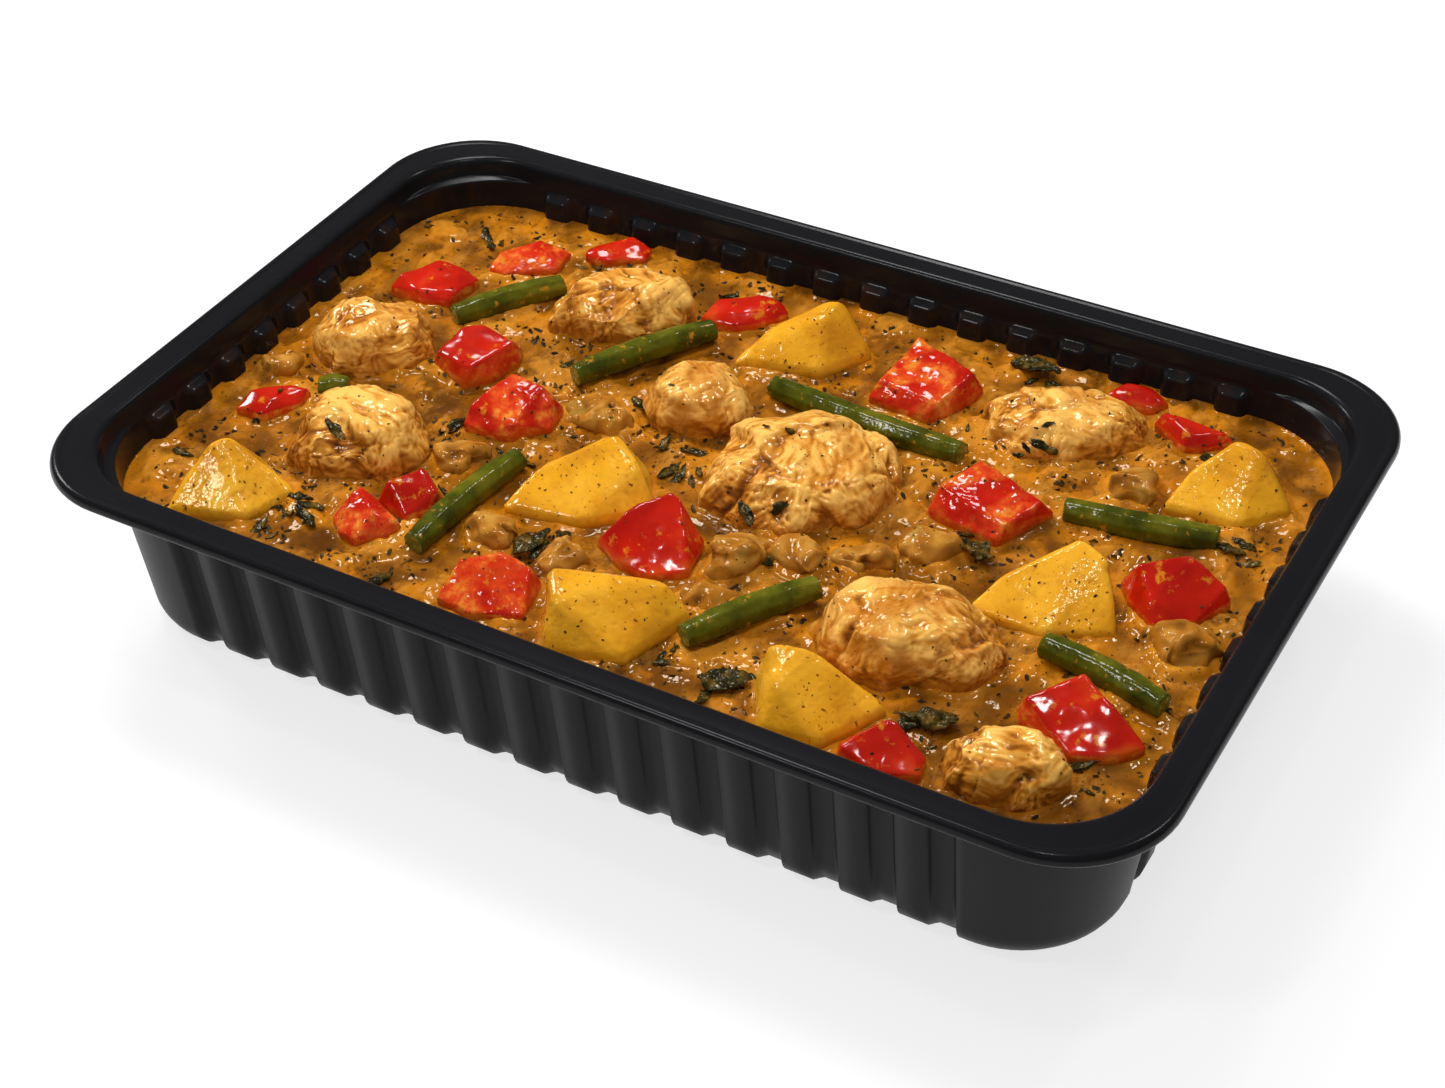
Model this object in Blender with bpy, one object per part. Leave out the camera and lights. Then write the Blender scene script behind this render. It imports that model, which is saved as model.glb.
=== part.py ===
"""Chicken curry ready meal in its black plastic tray.

The tray is one thin moulded shell with a flat rim, corner ledges and upright
grooves. The sauce fills it to just under the rim, with a pocket round each
piece of chicken, potato, red pepper, green bean and onion that stands in it.
Sizes are in millimetres, worked out on the tray's own axes: X along the long
side, Y to the back, Z up from the table.
"""
import math

import bmesh
import bpy
from mathutils import Matrix, Vector, geometry, noise

MM = 0.001

# Tray, outside sizes
TRAY_LENGTH = 290.0
TRAY_WIDTH = 190.0
TRAY_HEIGHT = 52.0
RIM_RADIUS = 27.0
SHEET = 0.8
CORNER_STEPS = 6

# Tray wall: how far its inner face stands in from the rim's edge, and its slope
WALL_INSET = 9.2
WALL_DRAFT = 0.113
BAND_DEPTH = 5.2
BAND_RADIUS = 24.0
LEDGE_DROP = 0.5
LOWER_RADIUS_TOP = 30.0
LOWER_RADIUS_FOOT = 26.0
FOOT_RADIUS = 9.0

# Upright grooves of the wall, which stand out on its inside as pads
GROOVE_PITCH = 14.2
GROOVES_LONG = 15
GROOVES_SHORT = 8
GROOVE_TOP = 6.4
GROOVE_SLOPE = 2.2
GROOVE_DEPTH = 2.5
PAD_MOUTH = 8.4
PAD_FACE = 6.6

# Sauce
SAUCE_DROP = 13.6
GAP = 0.35
SAUCE_FOOT_INSET = 25.0
SAUCE_FOOT_RADIUS = 18.0
RELIEF_PITCH = 10.5
RELIEF_CLEARANCE = 3.4
SWELL = 1.2
SWELL_SIZE = 17.0
COLLAR = 1.6

# The pieces are set out across and along the view from the front right corner
SET_OUT_TURN = 32.0
BEAN_RADIUS = 3.5

# Chicken: place x, y, size across, size along, height over the sauce, extra turn
CHICKEN = [
    (-107, 6, 33, 27, 11.6, 0),
    (-57, 49, 38, 26, 11.2, 0),
    (-86, -33, 36, 27, 11.8, 0),
    (-18, 21, 27, 25, 11.0, 0),
    (19, 6, 56, 38, 12.0, 0),
    (67, 55, 43, 23, 8.5, -8),
    (68, -36, 44, 30, 12.0, -6),
    (105, -64, 32, 19, 10.6, -3),
]

# Red pepper: place x, y, corners at the sauce, tops (x, y, height)
PEPPER = [
    (-109, 36, ((-12, 0), (-3, -7), (4, -8), (12, 2), (7, 7), (1, 9), (-10, 4)),
     ((-9, 2, 4.5), (1, 7, 4.8), (7, 4, 4.2), (6, -6, 3.0), (-4, -5, 3.8))),
    (-93, 59, ((-11, -3), (-7, -6), (7, -5), (11, 3), (4, 8), (-8, 5)),
     ((-8, 2, 3.0), (3, 6, 4.2), (6, 1, 3.8), (0, -2, 3.8))),
    (-73, 73, ((-9, 0), (-6, -3), (7, -4), (9, 1), (4, 6), (-8, 3)),
     ((-8, 1, 2.0), (4, 5, 3.4), (6, 1, 2.8), (-6, 0, 2.6))),
    (-78, 11, ((-12, 2), (-4, -8), (3, -6), (10, 0), (11, 6), (3, 10), (-5, 10)),
     ((-11, 3, 4.4), (-4, 8, 7.6), (1, 8, 7.9), (9, 1, 7.6), (-2, -7, 5.6))),
    (-58, -5, ((-12, -2), (-6, -6), (0, -9), (10, -6), (13, 2), (8, 7), (1, 11), (-9, 5)),
     ((-10, 1, 5.6), (1, 8, 9.4), (8, 3, 8.6), (1, -8, 4.8), (10, -1, 5.0))),
    (-116, -30, ((-8, -1), (-1, -4), (8, 0), (11, 4), (5, 6), (-5, 5)),
     ((-4, 4, 3.3), (6, 5, 3.8), (10, 4, 3.2), (1, -1, 3.2))),
    (-28, 64, ((-12, -1), (-8, -4), (-3, -6), (5, -5), (11, -1), (10, 3), (4, 5), (-6, 5)),
     ((-7, 3, 3.8), (4, 3, 5.0), (9, 1, 3.4), (5, -3, 3.8), (-4, -3, 3.8))),
    (29, 56, ((-15, -4), (-2, -13), (3, -13), (14, -2), (1, 13), (-3, 13), (-13, 1)),
     ((-1, 12, 8.8), (11, -2, 6.6), (-12, -2, 5.6), (1, -12, 4.8))),
    (78, 76, ((-8, 2), (-4, -2), (3, -5), (7, -3), (4, 3), (-3, 5)),
     ((-6, 2, 2.6), (-2, 4, 3.2), (3, 0, 3.2), (5, -3, 2.4))),
    (97, 70, ((-11, 4), (-6, -6), (-2, -8), (7, -5), (6, -2), (-8, 6)),
     ((-9, 4, 4.9), (5, -4, 3.6), (-4, -5, 4.2))),
    (65, 17, ((-15, 1), (-1, -12), (4, -9), (14, -2), (10, 4), (-1, 12), (-13, 6)),
     ((-2, 10, 8.6), (-12, 4, 6.6), (1, -10, 4.8), (6, -6, 4.8), (11, -2, 4.8))),
    (0, -33, ((-13, 3), (-8, -6), (-1, -11), (8, -10), (12, 1), (9, 9), (4, 12), (-5, 10)),
     ((-6, 5, 8.0), (-3, 7, 9.2), (5, 9, 10.4), (7, 7, 9.8))),
    (116, 7, ((-12, 7), (-12, 0), (-8, -9), (1, -9), (11, -2), (9, 4), (4, 9), (-8, 10)),
     ((-9, 5, 8.4), (3, 6, 8.6), (10, 0, 4.4), (-8, -4, 5.4))),
    (-62, -45, ((-7, -1), (0, -8), (5, -6), (8, -1), (4, 5), (-4, 4)),
     ((-4, 0, 6.0), (4, 3, 7.2), (7, -3, 4.8))),
    (-70, -60, ((-3, 2), (-1, -4), (3, -7), (11, -6), (14, -3), (4, 9), (0, 8)),
     ((2, 6, 6.5), (4, 7, 7.0), (13, -3, 3.2), (7, -2, 6.0))),
    (-25, -66, ((-12, -1), (-4, -7), (4, -8), (8, -9), (12, 3), (10, 6), (4, 9), (-6, 9)),
     ((-6, 6, 6.5), (4, 6, 8.2), (10, 3, 6.2))),
    (114, -42, ((-14, 2), (-5, -9), (5, -10), (11, -8), (8, 2), (2, 10), (-2, 11), (-14, 7)),
     ((-13, 4, 7.0), (0, 8, 9.0), (5, 0, 6.4))),
    (80, -72, ((-10, 1), (-1, -5), (7, -6), (9, -1), (6, 6), (2, 8), (-9, 5)),
     ((1, 5, 7.6), (3, 5, 7.3), (-9, 2, 3.6), (6, -3, 3.4))),
]

# Onion and other small lumps under the sauce's coat: as the chicken
ONION = [
    (-38, 6, 18, 13, 4.6, -8),
    (-60, -25, 13, 12, 4.4, 10),
    (20, -28, 12, 13, 6.0, 0),
    (33, -20, 11, 9, 3.8, 12),
    (46, -14, 12, 10, 4.0, -14),
    (56, -3, 13, 10, 5.0, 0),
    (91, 40, 12, 11, 4.4, 6),
    (123, -9, 13, 12, 5.4, 0),
    (-36, -46, 12, 12, 4.6, 0),
    (-16, -47, 11, 11, 4.4, 0),
    (-124, -13, 11, 9, 3.2, 20),
    (21, -43, 9, 7, 3.0, -20),
]

# Green beans: middle x, y, length, turn, rise of the middle over the sauce, bend
BEANS = [
    (-87, 39, 32, 56, 2.2, 0.8),
    (-41, 33, 41, 59, 3.0, 1.2),
    (22, 35, 55, -4, 2.4, -1.4),
    (-48, -40, 41, 85, 2.6, 1.2),
    (33, -45, 35, 58, 2.2, 0.9),
    (98, 28, 37, 10, 1.6, -1.0),
    (111, -26, 32, -12, 2.2, 0.8),
    (-106, -15, 8, 30, 0.4, 0.4),
]

# Wilted leaves on the sauce: place x, y, length, width, turn
LEAVES = [
    (68, 1, 10, 6, -20),
    (-26, -46, 12, 5, 75),
    (38, -67, 12, 7, 25),
    (85, -56, 10, 6, 20),
    (50, 77, 13, 6, 5),
]

# Potato wedges: as the pepper
POTATO = [
    (-6, 56, ((-19, -4), (3, -11), (17, -4), (14, 8), (-7, 8)), ((9, 7, 12.6), (5, 1, 11.4), (-8, 3, 7.0))),
    (-103, -62, ((-15, -8), (5, -12), (16, -3), (7, 10), (-9, 8)), ((0, 6, 12.8), (-4, 4, 12.2), (-10, -1, 6.0))),
    (-25, -23, ((-20, -4), (-2, -12), (17, -9), (16, 7), (0, 13)), ((8, 9, 12.4), (13, -1, 9.5), (-12, 4, 6.0))),
    (7, -61, ((-17, -9), (1, -13), (17, 2), (11, 10), (-16, 9)), ((-15, 8, 12.6), (-14, -2, 11.8), (11, 6, 8.5))),
    (59, -64, ((-13, -8), (0, -13), (16, -3), (5, 9), (-12, 10)), ((-9, 8, 12.6), (-1, 6, 12.0), (-8, -2, 10.0))),
    (90, -7, ((-19, -1), (-4, -11), (13, -12), (15, 4), (3, 12)), ((8, 9, 12.2), (13, 3, 11.0), (-11, 4, 6.5))),
    (112, 48, ((-16, -2), (0, -11), (14, -7), (14, 5), (2, 11)), ((3, 9, 12.6), (8, 4, 12.0), (-9, 4, 7.0))),
]

COLOURS = {
    "tray": ((0.013, 0.013, 0.014), 0.34),
    "sauce": ((0.50, 0.215, 0.045), 0.22),
    "chicken": ((0.66, 0.36, 0.13), 0.38),
    "potato": ((0.80, 0.48, 0.09), 0.36),
    "pepper": ((0.50, 0.016, 0.008), 0.18),
    "onion": ((0.52, 0.33, 0.10), 0.26),
    "bean": ((0.105, 0.155, 0.018), 0.30),
    "leaf": ((0.030, 0.026, 0.012), 0.34),
}


def clear_scene():
    for old in list(bpy.data.objects):
        bpy.data.objects.remove(old, do_unlink=True)


def material(kind):
    found = bpy.data.materials.get(kind)
    if found:
        return found
    colour, roughness = COLOURS[kind]
    made = bpy.data.materials.new(kind)
    made.use_nodes = True
    shader = made.node_tree.nodes["Principled BSDF"]
    shader.inputs["Base Color"].default_value = (*colour, 1.0)
    shader.inputs["Roughness"].default_value = roughness
    shader.inputs["Metallic"].default_value = 0.0
    return made


def add_object(name, bm, kind, parent, place=(0.0, 0.0, 0.0), turn=0.0, smooth=35.0):
    """Turns a bmesh in millimetres into an object in metres."""
    bmesh.ops.recalc_face_normals(bm, faces=bm.faces)
    bmesh.ops.scale(bm, vec=(MM, MM, MM), verts=bm.verts)
    mesh = bpy.data.meshes.new(name)
    bm.to_mesh(mesh)
    bm.free()
    mesh.shade_smooth()
    mesh.set_sharp_from_angle(angle=math.radians(smooth))
    mesh.materials.append(material(kind))
    obj = bpy.data.objects.new(name, mesh)
    bpy.context.scene.collection.objects.link(obj)
    obj.location = Vector(place) * MM
    obj.rotation_euler = (0.0, 0.0, math.radians(turn))
    obj.parent = parent
    return obj


# Outlines in plan

def groove_marks(count, mouth, face):
    """Points along a wall, counted from its middle, with 1 where the pad stands in."""
    marks = []
    for i in range(count):
        middle = (i - (count - 1) / 2) * GROOVE_PITCH
        marks += [(middle - mouth / 2, 0), (middle - face / 2, 1), (middle + face / 2, 1), (middle + mouth / 2, 0)]
    return marks


def outline(inset, z, radius, pads=None):
    """Rounded rectangle, anticlockwise; pads is (depth, mouth, face) of the wall's pads."""
    half = (TRAY_LENGTH / 2 - inset, TRAY_WIDTH / 2 - inset)
    points = []
    for side in range(4):
        across, along = half[side % 2], half[1 - side % 2]
        spin = Matrix.Rotation(side * math.pi / 2, 2)
        if pads:
            depth, mouth, face = pads
            count = GROOVES_SHORT if side % 2 == 0 else GROOVES_LONG
            for position, stands_in in groove_marks(count, mouth, face):
                points.append(spin @ Vector((across - depth * stands_in, position)))
        for step in range(CORNER_STEPS + 1):
            angle = step / CORNER_STEPS * math.pi / 2
            corner = Vector((across - radius + radius * math.cos(angle), along - radius + radius * math.sin(angle)))
            points.append(spin @ corner)
    return [Vector((p.x, p.y, z)) for p in points]


def bridge(bm, low, high):
    """Faces between two rings; a ring with pads meets a plain one side by side."""
    if len(low) == len(high):
        for i in range(len(low)):
            j = (i + 1) % len(low)
            bm.faces.new((low[i], low[j], high[j], high[i]))
        return
    plain, ribbed = (low, high) if len(low) < len(high) else (high, low)
    corner = CORNER_STEPS + 1
    at = 0
    for side in range(4):
        count = 4 * (GROOVES_SHORT if side % 2 == 0 else GROOVES_LONG)
        before = plain[side * corner - 1]
        after = plain[side * corner]
        chain = [ribbed[at - 1]] + ribbed[at:at + count + 1]
        middle = len(chain) // 2
        for i in range(len(chain) - 1):
            bm.faces.new((chain[i], chain[i + 1], before if i < middle else after))
        bm.faces.new((before, after, chain[middle]))
        at += count
        for step in range(corner - 1):
            k = side * corner + step
            bm.faces.new((plain[k], plain[k + 1], ribbed[at + step + 1], ribbed[at + step]))
        at += corner


def add_ring(bm, points):
    return [bm.verts.new(p) for p in points]


# Tray

def wall_inset(depth, outer=False):
    """Inset of the wall's face, at a depth under the rim."""
    return WALL_INSET + WALL_DRAFT * depth - (SHEET if outer else 0.0)


def lower_radius(depth):
    foot = TRAY_HEIGHT - FOOT_RADIUS
    share = (depth - BAND_DEPTH) / (foot - BAND_DEPTH)
    return LOWER_RADIUS_TOP + (LOWER_RADIUS_FOOT - LOWER_RADIUS_TOP) * share


def wall_rings(outer):
    """Rings of one face of the tray from its floor up to the band under the rim."""
    top = TRAY_HEIGHT
    narrow = 0.7 if outer else 0.0
    mouth, face = PAD_MOUTH - 2 * narrow, PAD_FACE - 2 * narrow
    skin = SHEET if outer else 0.0
    foot_depth = TRAY_HEIGHT - FOOT_RADIUS
    foot_inset = wall_inset(foot_depth, outer)
    foot_radius = lower_radius(foot_depth) + skin
    floor = 0.0 if outer else SHEET
    bend = FOOT_RADIUS - floor
    rings = [outline(foot_inset + FOOT_RADIUS, floor, foot_radius - FOOT_RADIUS)]
    for angle, share in ((58, 0.7), (28, 0.9)):
        a = math.radians(angle)
        sink = FOOT_RADIUS * (1 - math.cos(a))
        rings.append(outline(foot_inset + sink, floor + bend * (1 - math.sin(a)), foot_radius - sink,
                             (GROOVE_DEPTH * share, mouth, face)))
    if not outer:
        rings.pop(1)
    for depth, share in ((foot_depth, 1.0), (GROOVE_TOP + GROOVE_SLOPE, 1.0), (GROOVE_TOP, 0.0)):
        rings.append(outline(wall_inset(depth, outer), top - depth, lower_radius(depth) + skin,
                             (GROOVE_DEPTH * share, mouth, face)))
    ledge = BAND_DEPTH + LEDGE_DROP
    rings.append(outline(wall_inset(ledge, outer), top - ledge, lower_radius(ledge) + skin))
    rings.append(outline(wall_inset(BAND_DEPTH, outer), top - BAND_DEPTH, BAND_RADIUS + skin))
    return rings


def rim_rings():
    """Rings over the rim, from under it round the skirt and the bead to the inner edge."""
    top = TRAY_HEIGHT
    section = [
        (WALL_INSET - SHEET, 2.6), (WALL_INSET - 1.6, 1.3), (1.6, 1.2), (1.0, 2.6), (0.2, 2.6), (0.0, 2.2),
        (0.25, 1.1), (0.8, 0.3), (1.7, 0.0), (2.7, 0.35), (3.6, 0.35), (7.2, 0.3), (8.4, 0.8), (WALL_INSET, 2.2),
    ]
    inner_edge = 7.2
    rings = []
    for inset, drop in section:
        share = min(inset / inner_edge, 1.0)
        radius = RIM_RADIUS + (BAND_RADIUS + 1.0 - RIM_RADIUS) * share
        rings.append(outline(inset, top - drop, radius))
    return rings


def build_tray(parent):
    bm = bmesh.new()
    rings = wall_rings(True) + rim_rings() + wall_rings(False)[::-1]
    rings = [add_ring(bm, ring) for ring in rings]
    bm.faces.new(rings[0])
    bm.faces.new(rings[-1])
    for low, high in zip(rings, rings[1:]):
        bridge(bm, low, high)
    return add_object("tray", bm, "tray", parent, smooth=40.0)


# Sauce

def sauce_height(x, y):
    """Height of the sauce's surface: nearly level, with slow swells."""
    swell = noise.noise(Vector((x / SWELL_SIZE, y / SWELL_SIZE, 3.7)))
    fine = noise.noise(Vector((x / 7.0, y / 7.0, 9.1)))
    edge_x = 1.0 - (abs(x) / (TRAY_LENGTH / 2 - 12)) ** 6
    edge_y = 1.0 - (abs(y) / (TRAY_WIDTH / 2 - 12)) ** 6
    middle = max(min(edge_x, edge_y), 0.0)
    return TRAY_HEIGHT - SAUCE_DROP + middle * (0.3 + SWELL * swell + 0.4 * fine)


def grow(points, gap):
    """Moves each side of an anticlockwise outline out by the gap."""
    grown = []
    for i, p in enumerate(points):
        into = (p - points[i - 1]).normalized()
        away = (points[(i + 1) % len(points)] - p).normalized()
        normal = Vector((into.y + away.y, -into.x - away.x)).normalized()
        lean = max(normal.dot(Vector((away.y, -away.x))), 0.5)
        grown.append(p + normal * (gap / lean))
    return grown


def inside(p, ring):
    hit = False
    for i, b in enumerate(ring):
        a = ring[i - 1]
        if (a.y > p.y) != (b.y > p.y) and p.x < (b.x - a.x) * (p.y - a.y) / (b.y - a.y) + a.x:
            hit = not hit
    return hit


def edge_distance(p, ring):
    best = 1e9
    for i, b in enumerate(ring):
        a = ring[i - 1]
        near, share = geometry.intersect_point_line(p, a, b)
        near = a if share < 0 else b if share > 1 else near
        best = min(best, (p - Vector((near[0], near[1]))).length)
    return best


def relief_points(shore, holes):
    """Staggered points on the open sauce, clear of its shore and of every piece."""
    points = []
    rows = int(TRAY_WIDTH / RELIEF_PITCH)
    columns = int(TRAY_LENGTH / RELIEF_PITCH)
    for row in range(-rows // 2, rows // 2 + 1):
        for column in range(-columns // 2, columns // 2 + 1):
            p = Vector(((column + 0.5 * (row % 2)) * RELIEF_PITCH, row * RELIEF_PITCH * 0.87))
            if not inside(p, shore) or edge_distance(p, shore) < RELIEF_CLEARANCE:
                continue
            if any(inside(p, hole) or edge_distance(p, hole) < RELIEF_CLEARANCE for hole in holes):
                continue
            points.append(p)
    return points


def build_sauce(parent, pockets):
    """pockets holds, for each piece, its outline at the surface and its lowest height."""
    shore_inset = wall_inset(SAUCE_DROP) + GAP
    shore_radius = lower_radius(SAUCE_DROP) - GAP
    notch = (GROOVE_DEPTH, PAD_MOUTH + 2 * GAP, PAD_FACE + 2 * GAP)
    shore = [p.xy for p in outline(shore_inset, 0.0, shore_radius, notch)]
    holes = [grow(ring, GAP) for ring, _ in pockets]
    flat = list(shore)
    loops = [list(range(len(shore)))]
    for hole in holes:
        loops.append(list(range(len(flat), len(flat) + len(hole))))
        flat += hole
    edges = [(loop[i - 1], loop[i]) for loop in loops for i in range(len(loop))]
    flat += relief_points(shore, holes)
    made = geometry.delaunay_2d_cdt(flat, edges, [], 1, 1e-4)
    if len(made[0]) != len(flat):
        raise ValueError("two of the pieces touch in plan")
    bm = bmesh.new()
    top = [bm.verts.new((p.x, p.y, sauce_height(p.x, p.y))) for p in flat]
    place = {new: old[0] for new, old in enumerate(made[3])}
    for face in made[2]:
        corners = [place[i] for i in face]
        middle = sum((flat[i] for i in corners), Vector((0.0, 0.0))) / len(corners)
        if inside(middle, shore) and not any(inside(middle, hole) for hole in holes):
            bm.faces.new([top[i] for i in corners])
    for loop, hole, (_, lowest) in zip(loops[1:], holes, pockets):
        floor = [bm.verts.new((p.x, p.y, lowest - GAP)) for p in hole]
        bridge(bm, floor, [top[i] for i in loop])
        bm.faces.new(floor)
    below = SAUCE_DROP + 6.0
    side = add_ring(bm, outline(wall_inset(below) + GROOVE_DEPTH + GAP, TRAY_HEIGHT - below, shore_radius - 2.5,
                                (0.0, notch[1], notch[2])))
    foot = add_ring(bm, outline(SAUCE_FOOT_INSET, SHEET + GAP, SAUCE_FOOT_RADIUS))
    bridge(bm, side, [top[i] for i in loops[0]])
    bridge(bm, foot, side)
    bm.faces.new(foot)
    return add_object("sauce", bm, "sauce", parent)


# Pieces in the sauce

def rounded_outline(across, along, count, power, uneven, seed):
    """Anticlockwise outline between an ellipse (power 2) and a box (power 5)."""
    points = []
    for i in range(count):
        angle = 2 * math.pi * (i + 0.5) / count
        c, s = math.cos(angle), math.sin(angle)
        reach = (abs(c * 2 / across) ** power + abs(s * 2 / along) ** power) ** (-1 / power)
        reach *= 1 + uneven * noise.noise(Vector((1.4 * c, 1.4 * s, seed)))
        points.append(Vector((reach * c, reach * s)))
    return points


def stand(x, y, turn, ring):
    """Outline of a placed piece on the sauce, in the tray's own axes."""
    spin = Matrix.Rotation(math.radians(turn), 2)
    return [spin @ p + Vector((x, y)) for p in ring]


def stack(bm, layers, crown):
    """Closes layers of rings, lowest first, with a flat foot and a crown point."""
    rings = [add_ring(bm, layer) for layer in layers]
    for low, high in zip(rings, rings[1:]):
        bridge(bm, low, high)
    bm.faces.new(rings[0])
    tip = bm.verts.new(crown)
    last = rings[-1]
    for i in range(len(last)):
        bm.faces.new((last[i], last[(i + 1) % len(last)], tip))


def lumpy_layers(ring, sink, height, profile, roughness, lean, seed):
    """Layers from a sunk foot through the collar at the sauce to the rounded top."""
    layers = [[Vector((p.x * 0.8, p.y * 0.8, -sink)) for p in ring]]
    layers.append([Vector((p.x, p.y, -COLLAR)) for p in ring])
    for scale, rise in profile:
        layer = []
        for p in ring:
            lump = noise.noise(Vector((p.x * scale / 9.0, p.y * scale / 9.0, rise * 2.0 + seed)))
            pull = scale * min(1 - roughness * (0.35 - lump), 1.0)
            z = max(rise * height * (1 + 0.6 * roughness * lump), COLLAR)
            layer.append(Vector((p.x * pull, p.y * pull + lean * (1 - scale), z)))
        layers.append(layer)
    return layers


def build_lumps(prefix, kind, table, parent, count, sink, profile, roughness, uneven, lean):
    pockets = []
    for i, (x, y, across, along, height, extra) in enumerate(table):
        turn = SET_OUT_TURN + extra
        seed = 7.3 * i + len(prefix)
        ring = rounded_outline(across, along, count, 2.5, uneven, seed)
        level = sauce_height(x, y)
        bm = bmesh.new()
        stack(bm, lumpy_layers(ring, sink, height, profile, roughness, lean, seed), (0.0, lean, height))
        add_object(f"{prefix}_{i + 1}", bm, kind, parent, (x, y, level), turn, 50.0)
        pockets.append((stand(x, y, turn, ring), level - sink))
    return pockets


def build_chicken(parent):
    profile = ((1.0, 0.22), (0.93, 0.52), (0.74, 0.82), (0.42, 0.97))
    return build_lumps("chicken", "chicken", CHICKEN, parent, 12, 8.0, profile, 0.16, 0.16, 4.0)


def build_onion(parent):
    profile = ((0.99, 0.40), (0.66, 0.86))
    return build_lumps("onion", "onion", ONION, parent, 8, 3.5, profile, 0.12, 0.12, 0.5)


def cut_piece(corners, tops, sink):
    """The flat cut faces between a sunk foot, the corners at the sauce and the tops."""
    bm = bmesh.new()
    for scale, z in ((0.88, -sink), (1.0, -COLLAR), (1.0, COLLAR)):
        add_ring(bm, [Vector((x * scale, y * scale, z)) for x, y in corners])
    add_ring(bm, [Vector(top) for top in tops])
    hull = bmesh.ops.convex_hull(bm, input=bm.verts)
    spare = [v for v in hull["geom_interior"] if isinstance(v, bmesh.types.BMVert)]
    bmesh.ops.delete(bm, geom=spare, context="VERTS")
    bmesh.ops.dissolve_limit(bm, angle_limit=math.radians(2), verts=bm.verts, edges=bm.edges)
    return bm


def build_cut_pieces(kind, table, parent, sink, edge):
    """Pieces with flat cut faces; their edges are taken off where edge isn't nought."""
    pockets = []
    for i, (x, y, corners, tops) in enumerate(table):
        level = sauce_height(x, y)
        bm = cut_piece(corners, tops, sink)
        if edge:
            bmesh.ops.bevel(bm, geom=bm.edges[:], offset=edge, segments=1, affect="EDGES", clamp_overlap=True)
            bmesh.ops.remove_doubles(bm, verts=bm.verts, dist=0.25)
        add_object(f"{kind}_{i + 1}", bm, kind, parent, (x, y, level), SET_OUT_TURN, 30.0)
        pockets.append((stand(x, y, SET_OUT_TURN, [Vector(c) for c in corners]), level - sink))
    return pockets


def build_pepper(parent):
    return build_cut_pieces("pepper", PEPPER, parent, 3.6, 0.0)


def build_potato(parent):
    return build_cut_pieces("potato", POTATO, parent, 8.0, 1.0)


def build_beans(parent):
    """Round bean pods, slightly bent, each in a trough as wide as itself."""
    pockets = []
    sides = 8
    for i, (x, y, length, turn, rise, bend) in enumerate(BEANS):
        level = sauce_height(x, y)
        steps = 4 if length > 20 else 2
        bm = bmesh.new()
        rings = []
        near, far = [], []
        for step in range(steps + 1):
            share = 2 * step / steps - 1
            slim = 0.82 if abs(share) == 1 else 1.0
            middle = Vector((share * length / 2, bend * (1 - share * share), rise))
            near.append(Vector((middle.x, middle.y - BEAN_RADIUS)))
            far.append(Vector((middle.x, middle.y + BEAN_RADIUS)))
            ring = []
            for side in range(sides):
                angle = 2 * math.pi * (side + 0.5) / sides
                reach = BEAN_RADIUS * slim
                ring.append(middle + Vector((0.0, math.cos(angle), math.sin(angle))) * reach)
            rings.append(add_ring(bm, ring))
        for low, high in zip(rings, rings[1:]):
            bridge(bm, low, high)
        bm.faces.new(rings[0])
        bm.faces.new(rings[-1])
        add_object(f"bean_{i + 1}", bm, "bean", parent, (x, y, level), turn, 50.0)
        pockets.append((stand(x, y, turn, near + far[::-1]), level + rise - BEAN_RADIUS))
    return pockets


def build_leaves(parent):
    """Thin wavy leaves that lie on the sauce; both faces have the same triangles."""
    thick = 0.9
    lift = 0.9
    across, along = 3, 5
    for i, (x, y, length, width, turn) in enumerate(LEAVES):
        spin = Matrix.Rotation(math.radians(turn), 2)
        bm = bmesh.new()
        under, over = [], []
        for row in range(along):
            v = 2 * row / (along - 1) - 1
            reach = width / 2 * (1.0 - 0.72 * v * v)
            for column in range(across):
                u = column - 1
                p = spin @ Vector((v * length / 2, u * reach)) + Vector((x, y))
                wave = 0.7 * math.sin(2.6 * v + i) * u + 0.5 * math.cos(4.0 * v + 2 * i)
                z = sauce_height(p.x, p.y) + lift + 0.6 + 0.5 * wave
                under.append(bm.verts.new((p.x, p.y, z)))
                over.append(bm.verts.new((p.x, p.y, z + thick)))
        for row in range(along - 1):
            for column in range(across - 1):
                a = row * across + column
                for skin in (under, over):
                    bm.faces.new((skin[a], skin[a + 1], skin[a + across + 1]))
                    bm.faces.new((skin[a], skin[a + across + 1], skin[a + across]))
        rim = list(range(across)) + [across * r + across - 1 for r in range(1, along)]
        rim += [across * along - 2 - c for c in range(across - 1)] + [across * r for r in range(along - 2, 0, -1)]
        for k, a in enumerate(rim):
            b = rim[(k + 1) % len(rim)]
            bm.faces.new((under[a], under[b], over[b], over[a]))
        add_object(f"leaf_{i + 1}", bm, "leaf", parent)


def build():
    clear_scene()
    meal = bpy.data.objects.new("meal", None)
    bpy.context.scene.collection.objects.link(meal)
    build_tray(meal)
    pockets = build_chicken(meal)
    pockets += build_potato(meal)
    pockets += build_pepper(meal)
    pockets += build_beans(meal)
    pockets += build_onion(meal)
    build_sauce(meal, pockets)
    build_leaves(meal)


build()
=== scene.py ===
"""A chicken curry ready meal in its black plastic tray, finished to look real.

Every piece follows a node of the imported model. Sizes here are in millimetres
on the model's own axes: X along the tray, Y to the back, Z up from the table.
"""
import itertools
import math
import random

import bmesh
import bpy
import numpy as np
from mathutils import Matrix, Vector, noise
from mathutils.bvhtree import BVHTree


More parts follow.
